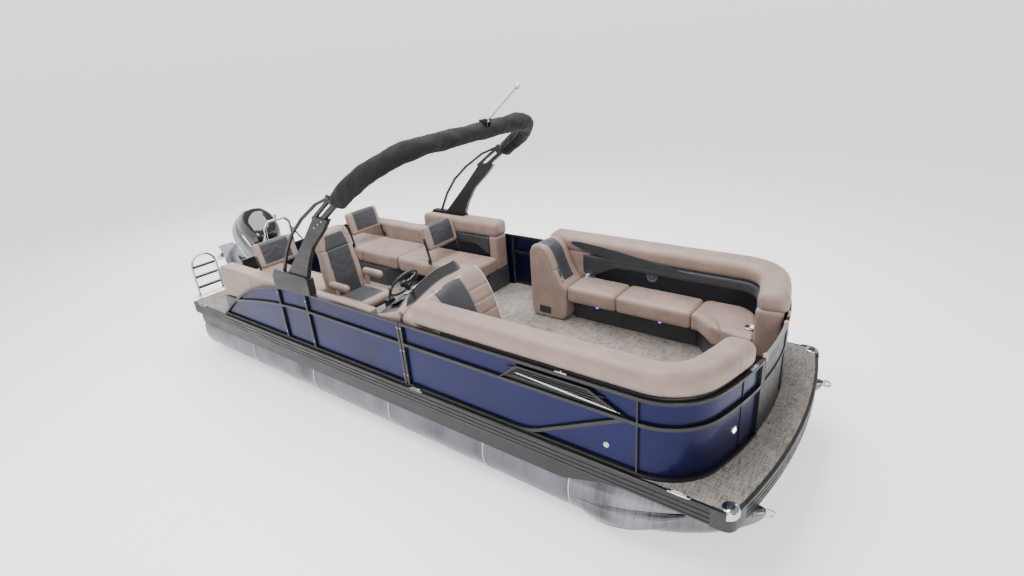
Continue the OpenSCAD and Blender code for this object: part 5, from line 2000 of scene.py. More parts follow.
@dataclass
class SternLounge:
    """Seats round the stern, with their coamings and bases."""

    line: FenceLine = field(default_factory=FenceLine)
    x0: float = 0.855
    pad_x: float = 2.30
    end_x: float = 3.56
    aisle: float = 0.378
    back_y: float = 0.9965
    front_y: float = 0.6025
    low: float = 0.252
    high: float = 0.44

    def bench(self, x0: float, x1: float, y0: float, splits: tuple[float, ...]) -> Shape:
        """Straight cushions side by side along the boat, with a seam behind their front edge."""
        edges = [x0, *splits, x1]
        parts = []
        for a, b in zip(edges, edges[1:]):
            size = (b - a - 0.006, self.back_y - y0, self.high - self.low)
            pad = Pad(
                size, radius=0.042, crown=0.012, bulge=0.005,
                wide_seams=(-size[1] / 2 + 0.05, size[1] / 2 - 0.14), seam_depth=0.007
            )
            parts.append(
                pad.shape().mapped(
                    lambda p,
                    m=np.array([(a + b) / 2, (y0 + self.back_y) / 2, (self.low + self.high) / 2]): p + m
                )
            )
        return join(parts)

    def corner_pad(self) -> Shape:
        """Cushion of the port lounge's forward part, its front edge slanting outboard to the side gate."""
        pad = Pad(
            (1.26, 0.5, self.high - self.low), radius=0.045, crown=0.014, bulge=0.005, long_seams=(-0.02,),
            wide_seams=(-0.19,), seam_depth=0.012, fineness=0.016
        )
        shape = pad.shape()
        u = (shape.points[:, 0] / 0.63 + 1) / 2
        v = (shape.points[:, 1] / 0.25 + 1) / 2
        x = self.pad_x + 0.003 + (self.end_x - self.pad_x - 0.006) * u
        slant = np.clip((u - 0.42) / 0.58, 0, 1)
        front = self.aisle + 0.022 + (self.front_y - self.aisle - 0.022) * slant
        # The corner at the aisle is round in plan
        front = front + 0.03 * np.exp(-((u - 0.0) / 0.05) ** 2)
        y = front + (self.back_y - front) * v
        return Shape(
            np.stack([x, y, shape.points[:, 2] + (self.low + self.high) / 2], 1), shape.faces
        ).outward()

    def coaming(self, side: Side) -> None:
        """Low padded coaming along the stern seats, and the higher backrest forward of it to port."""
        low = self.line.run(
            self.x0, self.pad_x - 0.002, (0.046, 0.256), (self.low + 0.002, 0.640), 0.045, 0.018,
            seams=(1.60,)
        )
        if side is Side.STARBOARD:
            wall = self.line.run(
                self.pad_x + 0.006, 3.734, (0.046, 0.152), (0.006, 0.678), 0.03, 0.02, seams=(2.95,)
            )
            Piece(
                "starboard_coaming_pads", join([low, wall]).on(side), (TAUPE,),
                stands_for=("starboard_coaming",), fill=0.8
            ).build()
            return

        def round_head(s: Array, inset: Array, z: Array) -> tuple[Array, Array]:
            """The head stands back clear of the arch's foot and comes out over the rail forward of it."""
            clear = np.clip((s - 2.93) / 0.06, 0, 1)
            outer = 0.130 - 0.120 * clear
            share = np.clip((inset - 0.010) / (0.2595 - 0.010), 0, 1)
            return outer + (0.2595 - outer) * share, z

        head = self.line.run(
            self.pad_x, self.end_x - 0.002, (0.010, 0.2595), (0.686, 0.880), 0.06, 0.016, round_head,
            seams=(3.40,)
        )
        body = self.line.run(
            self.pad_x, self.end_x - 0.004, (0.046, 0.150), (self.low + 0.002, 0.684), 0.02, 0.03
        )
        end = self.line.run(3.43, self.end_x - 0.002, (0.046, 0.2595), (self.low + 0.004, 0.700), 0.028, 0.02)
        Piece(
            "port_coaming_pads", join([low, head, end]).on(side), (TAUPE,), stands_for=("port_coaming",),
            fill=0.85
        ).build()
        Piece("port_lounge_back_shell", body.on(side), (DEEP_VINYL,)).build()

        def arch(s: Array, inset: Array, z: Array) -> tuple[Array, Array]:
            """The band's lower edge arches over the lit recess."""
            ramp = np.clip((s - 2.36) / 0.22, 0, 1) * np.clip((3.42 - s) / 0.22, 0, 1)
            step = ramp * ramp * (3 - 2 * ramp)
            foot = 0.45 + 0.12 * step
            share = np.clip((z - 0.45) / 0.24, 0, 1)
            face = np.clip((inset - 0.15) / 0.12, 0, 1)
            return inset + face * 0.010 * np.sin(math.pi * share), foot + (0.69 - foot) * share

        band = self.line.run(self.pad_x + 0.01, 3.43, (0.148, 0.258), (0.45, 0.69), 0.028, 0.012, arch)
        Piece("port_lounge_band", band.on(side), (CHARCOAL,), fill=0.7).build()
        lamps = [
            bar(
                self.line.place(np.array([s - 0.05, s, s + 0.05]), 0.156, 0.575), 0.0055, 6, 8
            ) for s in (2.62, 3.14)
        ]
        Piece("port_lounge_lamps", join(lamps), (PURPLE_LAMP,)).build()

    def build(self) -> None:
        """Makes the stern seating."""
        soften("stern_bases", CHARCOAL, 8 * MM)
        starboard = self.bench(self.x0, self.pad_x, self.aisle + 0.03, (1.60,)).on(Side.STARBOARD)
        Piece(
            "starboard_stern_cushions", starboard, (TAUPE,), stands_for=("starboard_stern_pads",), fill=0.8
        ).build()
        port = self.bench(self.x0, self.pad_x - 0.006, self.aisle + 0.03, (1.60,)) + self.corner_pad()
        Piece("port_stern_cushions", port, (TAUPE,), stands_for=("port_stern_pads",), fill=0.8).build()
        for side in Side:
            self.coaming(side)
        FlipBack("starboard_flip_back", 1.46, Side.STARBOARD).build()
        FlipBack("port_flip_back", 1.46, Side.PORT).build()
        FlipBack("mid_flip_back", 2.94, Side.PORT).build()
        soften("flip_lugs", PLASTIC, 2 * MM)

# ---------------------------------------------------------------- helm


@dataclass
class Helm:
    """Console with its chaise, dash, windscreen, wheel and throttle, and the chair behind it."""

    low_y: float = -1.2130
    high_y: float = -0.2170
    wheel_at: tuple[float, float, float] = (3.74, -0.64, 0.640)
    wheel_tilt: float = -55.0
    insert: tuple[float, float] = (-0.86, -0.52)
    chair: tuple[float, float] = (2.90, -0.64)
    seat_z: float = 0.33

    def outline(self, y: Array) -> Array:
        """Side view of the console at each y: dash face aft, rounded ridge, chaise face forward."""
        flat = round_corners(
            [[3.965, 0.004], [3.965, 0.45], [3.76, 0.56], [3.745, 0.66], [3.80, 0.735], [4.07, 0.865], [4.155, 0.898],
             [4.27, 0.892], [4.345, 0.835], [4.42, 0.735], [4.485, 0.60], [4.545, 0.42], [4.60, 0.20], [4.618, 0.004]],
            0.05, 260,
        )
        fall = np.clip((-y - 0.62) / 0.58, 0, 1) ** 1.6
        high = np.clip((flat[:, 1] - 0.45) / 0.45, 0, 1)
        z = flat[None, :, 1] - 0.165 * fall[:, None] * high[None, :]
        x = flat[None, :, 0] - 0.05 * fall[:, None] * (high**2)[None, :] * (flat[None, :, 0] > 4.2)
        return np.stack([x, z], -1)

    def console(self) -> None:
        """Moulded console with its padded forward face: charcoal insert, taupe ribbed bolsters, white welts."""
        a, b = self.insert
        extra = [e + k * 0.004 for e in (a, b) for k in (-2, -1, 0, 1, 2)]
        lines = end_lines(self.low_y, self.high_y, 0.035, 90, extra)
        flat = self.outline(np.array([self.high_y]))[0]
        front = (flat[:, 0] > 4.26) & (flat[:, 1] > 0.22)

        def relief(y: Array, number: Array) -> Array:
            """Fullness and stitching of the padded face."""
            z = flat[number, 1]
            face = front[number] * np.clip((z - 0.22) / 0.05, 0, 1)
            inside = (y > a) & (y < b)
            vee = sum(groove(chevron(y - (a + b) / 2, z, 0.17, level), 0.005) for level in (0.46, 0.56))
            full = 0.010 * np.cos(np.clip((y - (a + b) / 2) / ((b - a) / 2), -1, 1) * math.pi / 2)
            ribs = sum(groove(z - level, 0.008) for level in (0.50, 0.62, 0.74)) * (y > b)
            bolster = 0.014 * np.clip(np.sin((y - b) / (self.high_y - b) * math.pi), 0, 1) * (y > b)
            return face * (
                np.where(
                    inside, full - 0.006 * vee, bolster - 0.010 * ribs
                ) - 0.012 * sum(groove(y - e, 0.005) for e in (a, b))
            )

        shape = loft(self.outline, lines, 0.035, relief)
        shape = shape.tagged_where(
            1, lambda p: (p[:, 1] > a) & (p[:, 1] < b) & (p[:, 2] > 0.30) & (p[:, 0] > 4.30)
        )
        shape = shape.tagged_where(
            2, lambda p: (p[:, 0] < 4.08) & (p[:, 2] > 0.60) & (
                p[:, 2] < 0.878
            ) & (p[:, 1] < -0.26) & (p[:, 1] > -1.17)
        )
        Piece(
            "helm_console", shape, (TAUPE, CHARCOAL, PLASTIC), stands_for=("console", "console_chaise"),
            fill=0.85
        ).build()
        ridge_y = np.linspace(self.high_y - 0.01, self.low_y + 0.03, 80)
        rows = self.outline(ridge_y)
        crest = np.argmin(
            np.abs(self.outline(np.array([self.high_y]))[0][:, 0] - 4.30) + (flat[:, 1] < 0.5) * 9
        )
        welt = np.stack([rows[:, crest, 0] + 0.001, ridge_y, rows[:, crest, 1] + 0.001], 1)
        side = self.outline(np.array([self.high_y]))[0]
        face = side[front]
        edge_down = np.stack(
            [face[:, 0] - 0.012, np.full(len(face), self.high_y + 0.001), face[:, 1] - 0.004], 1
        )
        Piece(
            "console_welts",
            sweep(circle(0.0035, 8), welt) + sweep(circle(0.0030, 8), edge_down, up=(0, 1, 0)), (PALE_PIPING,)
        ).build()

    def dash(self) -> None:
        """Instruments, switches and small fittings on the sloping dash."""
        slope = unit(np.array([-0.13, 0.0, 0.27]))
        parts, rings = [], []

        def spot(y: float, share: float) -> Array:
            """Place on the dash at y, with share running from its foot to its head."""
            rows = self.outline(np.array([y]))[0]
            x = 3.80 + 0.27 * share
            top = rows[(rows[:, 0] > 3.77) & (rows[:, 0] < 4.15) & (rows[:, 1] > 0.6)]
            order = np.argsort(top[:, 0])
            return np.array([x, y, np.interp(x, top[order, 0], top[order, 1])])

        for y, share, r in (
            (-0.50, 0.42, 0.045), (-0.62, 0.42, 0.055), (-0.75, 0.42, 0.045), (-0.86, 0.42, 0.034),
            (-0.42, 0.42, 0.030)
        ):
            at = spot(y, share)
            parts.append(turned([[r, -0.004], [r, 0.005], [r * 0.86, 0.006], [0.001, 0.006]], at, slope, 36))
            rings.append(
                turned(
                    [
                        [r + 0.005, -0.004], [r + 0.006, 0.006], [r + 0.001, 0.011], [r - 0.004, 0.0065],
                        [r - 0.006, -0.003]
                    ],
                    at, slope, 36
                )
            )
        screen_at = spot(-0.99, 0.50)
        panel = Pad((0.20, 0.13, 0.016), radius=0.006, crown=0, bulge=0, wrinkle=0, fineness=0.03).shape()
        ahead = unit(np.array([0.27, 0.0, 0.13]))
        parts.append(panel.mapped(placed(screen_at, (0, -1, 0), ahead)))
        for k in range(8):
            knob = Pad(
                (0.022, 0.034, 0.012), radius=0.003, crown=0, bulge=0, wrinkle=0, fineness=0.01
            ).shape()
            rings.append(knob.mapped(placed(spot(-0.36 - 0.05 * k, 0.10), (0, -1, 0), ahead)))
        Piece("dash_dials", join(parts), (DIAL,)).build()
        Piece("dash_rims", join(rings), (CHROME,)).build()

    def windscreen(self) -> None:
        """Low smoked screen whose ends sweep round and down, standing on the ridge."""
        y = np.linspace(-1.105, -0.335, 60)
        u = (y + 0.72) / 0.385
        end = np.clip((np.abs(u) - 0.72) / 0.28, 0, 1)
        base_x = 4.200 - 0.05 * end**2
        base_z = self.outline(y)[:, :, 1].max(1) - 0.004
        tall = 0.092 * (1 - end**2.2) + 0.006
        rise = np.linspace(0, 1, 12)
        rows = []
        for side in (0.0, 0.005):
            x = base_x[:, None] - 0.46 * tall[:, None] * rise[None, :] + side
            z = base_z[:, None] + tall[:, None] * rise[None, :]
            rows.append(np.stack([x, np.broadcast_to(y[:, None], x.shape), z], -1))
        loop = np.concatenate([rows[0], rows[1][:, ::-1]], 1)
        Piece("helm_windscreen", lattice(loop).outward(), (SCREEN,), stands_for=("windscreen",)).build()
        trim = np.stack([base_x + 0.002, y, base_z + 0.006], 1)
        Piece("windscreen_trim", sweep(circle(0.006, 10), trim), (PLASTIC,)).build()

    def wheel(self) -> None:
        """Steering wheel: padded rim, three brushed spokes with a hub, built on the wheel's own axis."""
        turn = math.radians(self.wheel_tilt)
        axis = np.array([math.sin(turn), 0.0, math.cos(turn)])
        right = np.array([0.0, 1.0, 0.0])
        ahead = np.cross(axis, right)
        stand = placed(self.wheel_at, right, ahead)
        angle = np.linspace(0, 2 * math.pi, 97)[:-1]
        rim_r = 0.175
        rim_path = np.stack([rim_r * np.cos(angle), rim_r * np.sin(angle), np.full(96, 0.150)], 1)
        thick = 0.0148 + 0.0008 * np.cos(angle * 24)
        rim = sweep(circle(1.0, 16), rim_path, scale=thick, closed=True).mapped(stand)
        spokes, hub = [], []
        for a in (math.pi / 2, math.pi * 7 / 6, math.pi * 11 / 6):
            out = np.array([math.cos(a), math.sin(a), 0])
            path = [
                out * 0.025 + [0, 0, 0.146], out * 0.09 + [0, 0, 0.142], out * (rim_r - 0.004) + [0, 0, 0.150]
            ]
            section = circle(0.012, 12, 0.30)
            spokes.append(sweep(section, smooth_path(path, 20), up=(0, 0, 1)).mapped(stand))
        hub.append(
            turned(
                [
                    [0.001, 0.036], [0.022, 0.037], [0.024, 0.12], [0.045, 0.128], [0.046, 0.150],
                    [0.036, 0.160], [0.001, 0.163]
                ],
                (0, 0, 0), (0, 0, 1), 36
            ).mapped(stand)
        )
        whole = rim + join(spokes).tagged(1) + join(hub)
        Piece(
            "helm_wheel", whole, (PLASTIC, CHROME), body="steering_wheel", stands_for=("steering_wheel",)
        ).build()

    def chair_pads(self) -> None:
        """Captain's chair: bolstered seat, leaning back with a head panel, and padded armrests."""
        x0, y0 = self.chair
        base = np.array([x0 + 0.012, y0, self.seat_z + 0.0])
        seat = Pad(
            (0.46, 0.45, 0.105), radius=0.045, crown=0.010, bulge=0.006, long_seams=(-0.165, 0.165),
            wide_seams=(0.15,), seam_depth=0.008, fineness=0.012
        )
        shape = seat.shape()
        x, y, z = shape.points.T
        top = np.clip((z + 0.01) / 0.03, 0, 1)
        inside = (np.abs(x) < 0.165) & (y < 0.15)
        dish = -0.012 * np.cos(np.clip(x / 0.23, -1, 1) * math.pi / 2) * top
        stitch = sum(groove(chevron(x, y, 0.165, level), 0.005) for level in (-0.10, -0.01)) * inside
        shape = Shape(np.stack([x, y, z + dish - 0.006 * stitch * top], 1), shape.faces)
        shape = shape.tagged_where(
            1, lambda p: (np.abs(p[:, 0]) < 0.165) & (p[:, 1] < 0.15) & (p[:, 2] > 0.0)
        )
        cushion = shape.mapped(placed(base + [0.008, 0, 0.088], (0, -1, 0), (1, 0, 0)))
        pan = Pad(
            (0.42, 0.44, 0.045), radius=0.015, crown=0, bulge=0, wrinkle=0, fineness=0.04
        ).shape().mapped(lambda p: p + base + [0.0, 0, 0.024])
        arms, posts = [], []
        for s in (-1, 1):
            arm = Pad(
                (0.078, 0.31, 0.082), radius=0.036, crown=0.004, bulge=0.002, seam_depth=0.004, fineness=0.012
            )
            arms.append(
                arm.shape().mapped(
                    placed((x0 - 0.07, y0 + s * 0.238, self.seat_z + 0.285), (0, -1, 0), (1, 0, 0))
                )
            )
            posts.append(
                bar(
                    [
                        [x0 - 0.19, y0 + s * 0.238, self.seat_z + 0.03],
                        [x0 - 0.185, y0 + s * 0.238, self.seat_z + 0.26]
                    ],
                    0.027, 6, 12, up=(0, 1, 0), smooth=False
                )
            )
        whole = cushion + pan.tagged(2) + join(arms) + join(posts)
        Piece(
            "helm_chair_seat", whole, (TAUPE, CHARCOAL, PLASTIC), body="helm_chair",
            stands_for=("helm_seat",), fill=0.8
        ).build()
        lean = math.radians(11)
        rise = np.array([-math.sin(lean), 0, math.cos(lean)])
        ahead = np.array([math.cos(lean), 0, math.sin(lean)])
        tall = 0.80
        pad = Pad(
            (0.465, tall, 0.128), radius=0.055, crown=0.014, bulge=0.006, long_seams=(-0.158, 0.158),
            wide_seams=(0.175,), seam_depth=0.010, fineness=0.012
        )
        shape = pad.shape()
        x, y, z = shape.points.T
        front = np.clip((z + 0.01) / 0.03, 0, 1)
        waist = 1 - 0.10 * np.exp(-(((y - 0.12) / 0.13) ** 2)) - 0.16 * np.clip((y - 0.20) / 0.20, 0, 1) ** 2
        inside = (np.abs(x) < 0.150) & (y < 0.330)
        vee = sum(
            groove(chevron(x, y, 0.150, level), 0.005) for level in (-0.26, -0.14, -0.04)
        ) * inside + groove(y - 0.06, 0.006) * inside
        bend = 0.018 * np.abs(x / 0.21) ** 2 * front
        z = z + bend - 0.006 * vee * front - 0.010 * np.clip((y - 0.30) / 0.1, 0, 1)
        shape = Shape(np.stack([x * waist, y, z], 1), shape.faces)
        shape = shape.tagged_where(
            1, lambda p: (
                np.abs(p[:, 0]) < 0.150 - 0.05 * np.clip((p[:, 1] - 0.2) / 0.2, 0, 1)
            ) & (p[:, 1] < 0.335) & (p[:, 2] > 0.0)
        )
        foot = np.array([x0 - 0.205, y0, self.seat_z + 0.06])
        middle = foot + rise * (tall / 2 + 0.01) - ahead * 0.065
        back = shape.mapped(placed(middle, (0, -1, 0), rise))
        if np.dot(np.cross([0, -1, 0], rise), ahead) < 0:
            back = shape.mapped(placed(middle, (0, 1, 0), rise))
        Piece(
            "helm_chair_back", back, (TAUPE, CHARCOAL), body="helm_chair", stands_for=("helm_back",), fill=0.8
        ).build()

    def build(self) -> None:
        """Makes the helm."""
        self.console()
        self.dash()
        self.windscreen()
        self.wheel()
        self.chair_pads()
        carry("throttle", PLASTIC)
        soften("helm_pedestal", CHROME, 3 * MM)


# ---------------------------------------------------------------- arch


@dataclass
class Arch:
    """Raked hoop on two flat legs, with the rolled canvas top in its boot, and the light mast."""

    foot: tuple[float, float] = (3.350, 1.570)
    head: tuple[float, float] = (4.200, 2.170)
    half: float = 1.2395
    turn: float = 0.55
    boot_foot: float = 0.302
    radius: float = 0.090

    def ring(self, count: int) -> tuple[Array, Array, Array]:
        """Middle line of the canvas along the hoop.

        It runs up one leg, round a quarter circle, across, and down the other leg, evenly spaced, all in the raked plane.

        Returns:
            The points, the outward directions in the plane, and the plane's own direction.
        """
        rise = unit(np.array([self.head[0] - self.foot[0], self.head[1] - self.foot[1]]))
        length = math.hypot(self.head[0] - self.foot[0], self.head[1] - self.foot[1])
        t = np.linspace(0, math.pi / 2, 60)
        side = np.stack(
            [self.half - self.turn + self.turn * np.cos(t), length - self.turn + self.turn * np.sin(t)], 1
        )
        side = np.concatenate([[[self.half, self.boot_foot]], side])
        flat = evenly(np.concatenate([side * [-1, 1], side[::-1]]), count)
        way = unit(np.gradient(flat, axis=0))
        out = np.stack([-way[:, 1], way[:, 0]], 1)

        def lift(p: Array) -> Array:
            """From the raked plane to the boat."""
            return np.stack([p[:, 1] * rise[0], p[:, 0], p[:, 1] * rise[1]], 1)

        return lift(flat) + [self.foot[0], 0, self.foot[1]], lift(out), np.array([rise[1], 0.0, -rise[0]])

    def boot(self) -> Piece:
        """Slack canvas with long slanting folds, gathered at both ends and at the mast."""
        count = 420
        middle, out, normal = self.ring(count)
        s = np.linspace(0, 1, count)[:, None]
        a = np.linspace(0, 2 * math.pi, 73)[:-1][None, :]
        end = np.minimum(s, 1 - s) * 3.6
        gather = np.sqrt(np.clip(1 - np.clip(1 - end / 0.045, 0, 1) ** 2, 0.02, 1))
        slow = 0.0032 * np.sin(s * 41 + 2 * a) + 0.0026 * np.sin(
            s * 67 - 3 * a + 1.3
        ) + 0.0018 * np.sin(s * 149 + a * 4)
        crease = 0.0030 * np.abs(np.sin(s * 28 + a * 1.0 + 0.7 * np.sin(s * 90))) ** 6
        radius = (self.radius + slow - crease) * gather
        squash = 1 + 0.05 * np.sin(s * 9 + 0.5)
        points = middle[:, None, :] + (radius * np.cos(a))[..., None] * out[:, None, :] + (
            radius * np.sin(a) * squash
        )[..., None] * normal
        # The top is pressed down where the mast's foot stands
        near = np.exp(-(((points[..., 1] - 0.18) / 0.052) ** 4)) * (points[..., 0] > self.head[0] - 0.04)
        points[..., 2] -= near * np.clip(points[..., 2] - (self.head[1] + 0.03), 0, None)
        return Piece(
            "canvas_top_boot", lattice(points).outward(), (BOOT,), stands_for=("arch_boot",), fill=0.5
        )

    def seams(self) -> Piece:
        """Zip along the underside and the drawn cords at both ends."""
        middle, out, normal = self.ring(200)
        zip_line = sweep(circle(0.005, 8), middle[6:-6] - out[6:-6] * (self.radius - 0.001))
        ring = np.linspace(0, 2 * math.pi, 41)[:-1]
        cords = []
        for k in (3, -4):
            path = middle[k] + 0.083 * (np.cos(ring)[:, None] * out[k] + np.sin(ring)[:, None] * normal)
            cords.append(sweep(circle(0.006, 8), path, closed=True))
        return Piece("boot_zip", join([zip_line, *cords]), (PLASTIC,))

    def fittings(self) -> None:
        """Clamp knobs below the boot, and leg bolts."""
        knobs, bolts = [], []
        for s in (-1, 1):
            for x, z in ((3.545, 1.735), (3.50, 1.79)):
                knobs.append(
                    turned(
                        [[0.001, -0.004], [0.022, -0.003], [0.024, 0.014], [0.017, 0.020], [0.001, 0.022]],
                        (x, s * 1.258, z), (0, s, 0), 20
                    )
                )
            for x, z in ((3.33, 1.535), (3.27, 1.50), (3.20, 1.46)):
                bolts.append(
                    turned(
                        [[0.001, -0.003], [0.007, -0.003], [0.007, 0.003], [0.004, 0.005], [0.001, 0.005]],
                        (x, s * 1.270, z), (0, s, 0), 14
                    )
                )
        Piece("arch_knobs", join(knobs), (PLASTIC,)).build()
        Piece("arch_bolts", join(bolts), (CHROME,)).build()

    def build(self) -> None:
        """Makes the arch."""
        soften("arch", ARCH_PAINT, 5 * MM)
        self.boot().build()
        self.seams().build()
        self.fittings()
        carry("light_mast", CHROME)


# ---------------------------------------------------------------- stern gear and engine


@dataclass
class SternGear:
    """Tow bar and boarding ladder."""

    ladder_y: float = -0.985
    ladder_x: float = -0.036
    ladder_z: float = 0.026

    def build(self) -> None:
        """Carries the polished parts over and adds the ladder's treads."""
        carry("tow_bar", CHROME)
        carry("ladder_bracket", CHROME)
        carry("ladder", CHROME)
        treads = []
        for z in (0.100, 0.250, 0.390):
            pad = Pad((0.30, 0.050, 0.028), radius=0.006, crown=0, bulge=0, wrinkle=0, fineness=0.02).shape()
            treads.append(
                pad.mapped(
                    lambda p,
                    h=z: p[:, [1, 0, 2]] + [self.ladder_x - 0.014, self.ladder_y, self.ladder_z + h + 0.011]
                )
            )
        Piece("ladder_treads", join([t.outward() for t in treads]), (PLASTIC,), body="ladder").build()


@dataclass
class Outboard:
    """Outboard engine, drawn upright about its tilt tube and tilted up as it stands."""

    tilt: float = 55.0
    tilt_x: float = -0.43
    steer_x: float = -0.150
    shaft: float = 0.635
    prop_z: float = -0.840

    def tilted(self, p: Array) -> Array:
        """From the upright frame of the tilt tube to the deck frame."""
        a = math.radians(self.tilt)
        x = p[:, 0] * math.cos(a) + p[:, 2] * math.sin(a)
        z = -p[:, 0] * math.sin(a) + p[:, 2] * math.cos(a)
        return np.stack([x + self.tilt_x, p[:, 1], z], 1)

    def rings(
        self, rows: Sequence[Sequence[float]], count: int, sides: int = 72, power: float = 2.6
    ) -> Array:
        """Smooth stack of level superellipses.

        Each row gives height, aft end, forward end, half width and how far the aft half is narrowed.
        """
        table = smooth_path([[r[1], r[2], r[0]] for r in rows], count)
        wide = smooth_path([[r[3], r[4], r[0]] for r in rows], count)
        a = np.linspace(0, 2 * math.pi, sides + 1)[:-1]
        c, s = np.cos(a), np.sin(a)
        rx = np.sign(c) * np.abs(c) ** (2 / power)
        ry = np.sign(s) * np.abs(s) ** (2 / power)
        middle, half = (table[:, 0] + table[:, 1]) / 2, (table[:, 1] - table[:, 0]) / 2
        x = middle[:, None] + half[:, None] * rx[None, :]
        taper = 1 - wide[:, 1:2] * np.clip(-rx[None, :], 0, 1) ** 2
        y = wide[:, 0:1] * ry[None, :] * taper
        z = np.broadcast_to(table[:, 2:3], x.shape)
        return np.stack([x, y, z], -1)

    def cowl(self) -> None:
        """Gloss cowl with a crown that rises aft, a waist line, a lower pan and bright side blades."""
        rows = [
            (0.114, -0.66, -0.03, 0.17, 0.10), (
                0.135, -0.705, 0.000, 0.225, 0.12
            ), (0.20, -0.728, 0.020, 0.258, 0.14),
            (
                0.32, -0.735, 0.032, 0.272, 0.18
            ), (0.42, -0.733, 0.028, 0.276, 0.20), (0.54, -0.722, 0.000, 0.262, 0.24),
            (0.64, -0.700, -0.045, 0.236, 0.28), (0.72, -0.655, -0.110, 0.190, 0.32), (
                0.765, -0.590, -0.190, 0.128, 0.34
            ),
            (0.785, -0.500, -0.290, 0.055, 0.30),
        ]
        grid = self.rings(rows, 110)
        x, y, z = grid[..., 0], grid[..., 1], grid[..., 2]
        # A seam runs round under the upper cover, and each flank has a long hollow
        seam = groove(z - (0.235 + 0.05 * (x + 0.35)), 0.006) * 0.008
        hollow = np.exp(
            -(((z - 0.50 - 0.10 * (x + 0.35)) / 0.055) ** 2)
        ) * np.exp(-(((x + 0.40) / 0.26) ** 4)) * 0.012
        outward = np.sign(y) * np.clip(np.abs(y) / 0.12, 0, 1)
        y = y - outward * (seam + hollow)
        shape = lattice(np.stack([x, y, z], -1)).outward()
        blades = []
        for s in (-1, 1):
            path = smooth_path(
                [
                    [-0.60, s * 0.213, 0.43], [-0.45, s * 0.250, 0.50], [-0.30, s * 0.262, 0.545],
                    [-0.14, s * 0.250, 0.560]
                ],
                50
            )
            size = 0.016 * np.sin(np.linspace(0.12, math.pi - 0.12, 50)) ** 0.7
            blades.append(sweep(circle(1.0, 14, 0.45), path, scale=size))
            low = smooth_path(
                [
                    [-0.64, s * 0.190, 0.255], [-0.45, s * 0.246, 0.262], [-0.20, s * 0.262, 0.275],
                    [-0.02, s * 0.205, 0.29]
                ],
                50
            )
            size = 0.007 * np.sin(np.linspace(0.12, math.pi - 0.12, 50)) ** 0.6
            blades.append(sweep(circle(1.0, 12, 0.6), low, scale=size))
        cowl = shape.mapped(self.tilted).outward()
        Piece("outboard_cowl", cowl, (COWL_PAINT,), body="engine", stands_for=("engine_cowl",)).build()
        Piece(
            "cowl_blades", join([b.mapped(self.tilted).outward() for b in blades]), (CHROME,), body="engine"
        ).build()

    def leg(self) -> None:
        """Midsection, plate, gearcase with its bullet nose, skeg, and the yokes on the pivot shaft."""
        x0 = self.steer_x
        rows = [
            (0.112, x0 - 0.440, x0 - 0.060, 0.086, 0.1), (0.02, x0 - 0.445, x0 - 0.095, 0.080, 0.3), (
                -0.12, x0 - 0.435, x0 - 0.120, 0.068, 0.45
            ),
            (
                -0.30, x0 - 0.425, x0 - 0.110, 0.056, 0.5
            ), (-0.48, x0 - 0.42, x0 - 0.105, 0.050, 0.5), (-0.60, x0 - 0.43, x0 - 0.09, 0.052, 0.5),
            (-0.70, x0 - 0.40, x0 - 0.07, 0.045, 0.5), (-0.80, x0 - 0.36, x0 - 0.05, 0.034, 0.5),
        ]
        parts = [lattice(self.rings(rows, 90, 48, 2.2)).outward()]
        plate = Pad((0.48, 0.25, 0.014), radius=0.006, crown=0, bulge=0, wrinkle=0, fineness=0.02).shape()
        px, py, pz = plate.points.T
        narrow = 1 - 0.55 * np.clip((px + 0.02) / 0.26, 0, 1) ** 1.5
        parts.append(Shape(np.stack([px + x0 - 0.32, py * narrow, pz - self.shaft - 0.006], 1), plate.faces))
        bullet = [
            [0.001, -0.400], [0.040, -0.399], [0.048, -0.38], [0.056, -0.30], [0.0585, -0.22], [0.057, -0.12],
            [0.048, -0.03], [0.030, 0.03], [0.012, 0.062], [0.001, 0.068]
        ]
        parts.append(turned(bullet, (x0, 0, self.prop_z), (1, 0, 0), 40))
        fin = np.array(
            [
                [-0.05, -0.03], [-0.09, -0.12], [-0.165, -0.206], [-0.245, -0.208], [-0.285, -0.12],
                [-0.325, -0.03]
            ]
        )
        side = round_corners(fin, 0.02, 60)
        middle = side.mean(0)
        rows3 = []
        for y, k in (
            (-0.0015, 0.90), (-0.006, 0.97), (-0.0075, 1.0), (0.0075, 1.0), (0.006, 0.97), (0.0015, 0.90)
        ):
            flat = middle + (side - middle) * k
            rows3.append(np.stack([flat[:, 0] + x0, np.full(60, y), flat[:, 1] + self.prop_z], 1))
        parts.append(lattice(np.array(rows3)).outward())
        yokes = [
            Pad(
                (0.26, 0.135, 0.043), radius=0.012, crown=0, bulge=0, wrinkle=0, fineness=0.03
            ).shape().mapped(lambda p: p + [x0 - 0.085, 0, 0.089]),
            Pad(
                (0.26, 0.135, 0.056), radius=0.014, crown=0, bulge=0, wrinkle=0, fineness=0.03
            ).shape().mapped(lambda p: p + [x0 - 0.085, 0, -0.340]),
            turned(
                [[0.001, -0.33], [0.0245, -0.329], [0.0245, 0.089], [0.001, 0.09]], (x0, 0, 0), (0, 0, 1), 28
            ),
        ]
        whole = join(
            [p.mapped(self.tilted).outward() for p in parts]
        ) + join([y.mapped(self.tilted).outward() for y in yokes]).tagged(1)
        Piece("outboard_leg", whole, (LEG_PAINT, CASTING), body="engine", stands_for=("engine_leg",)).build()

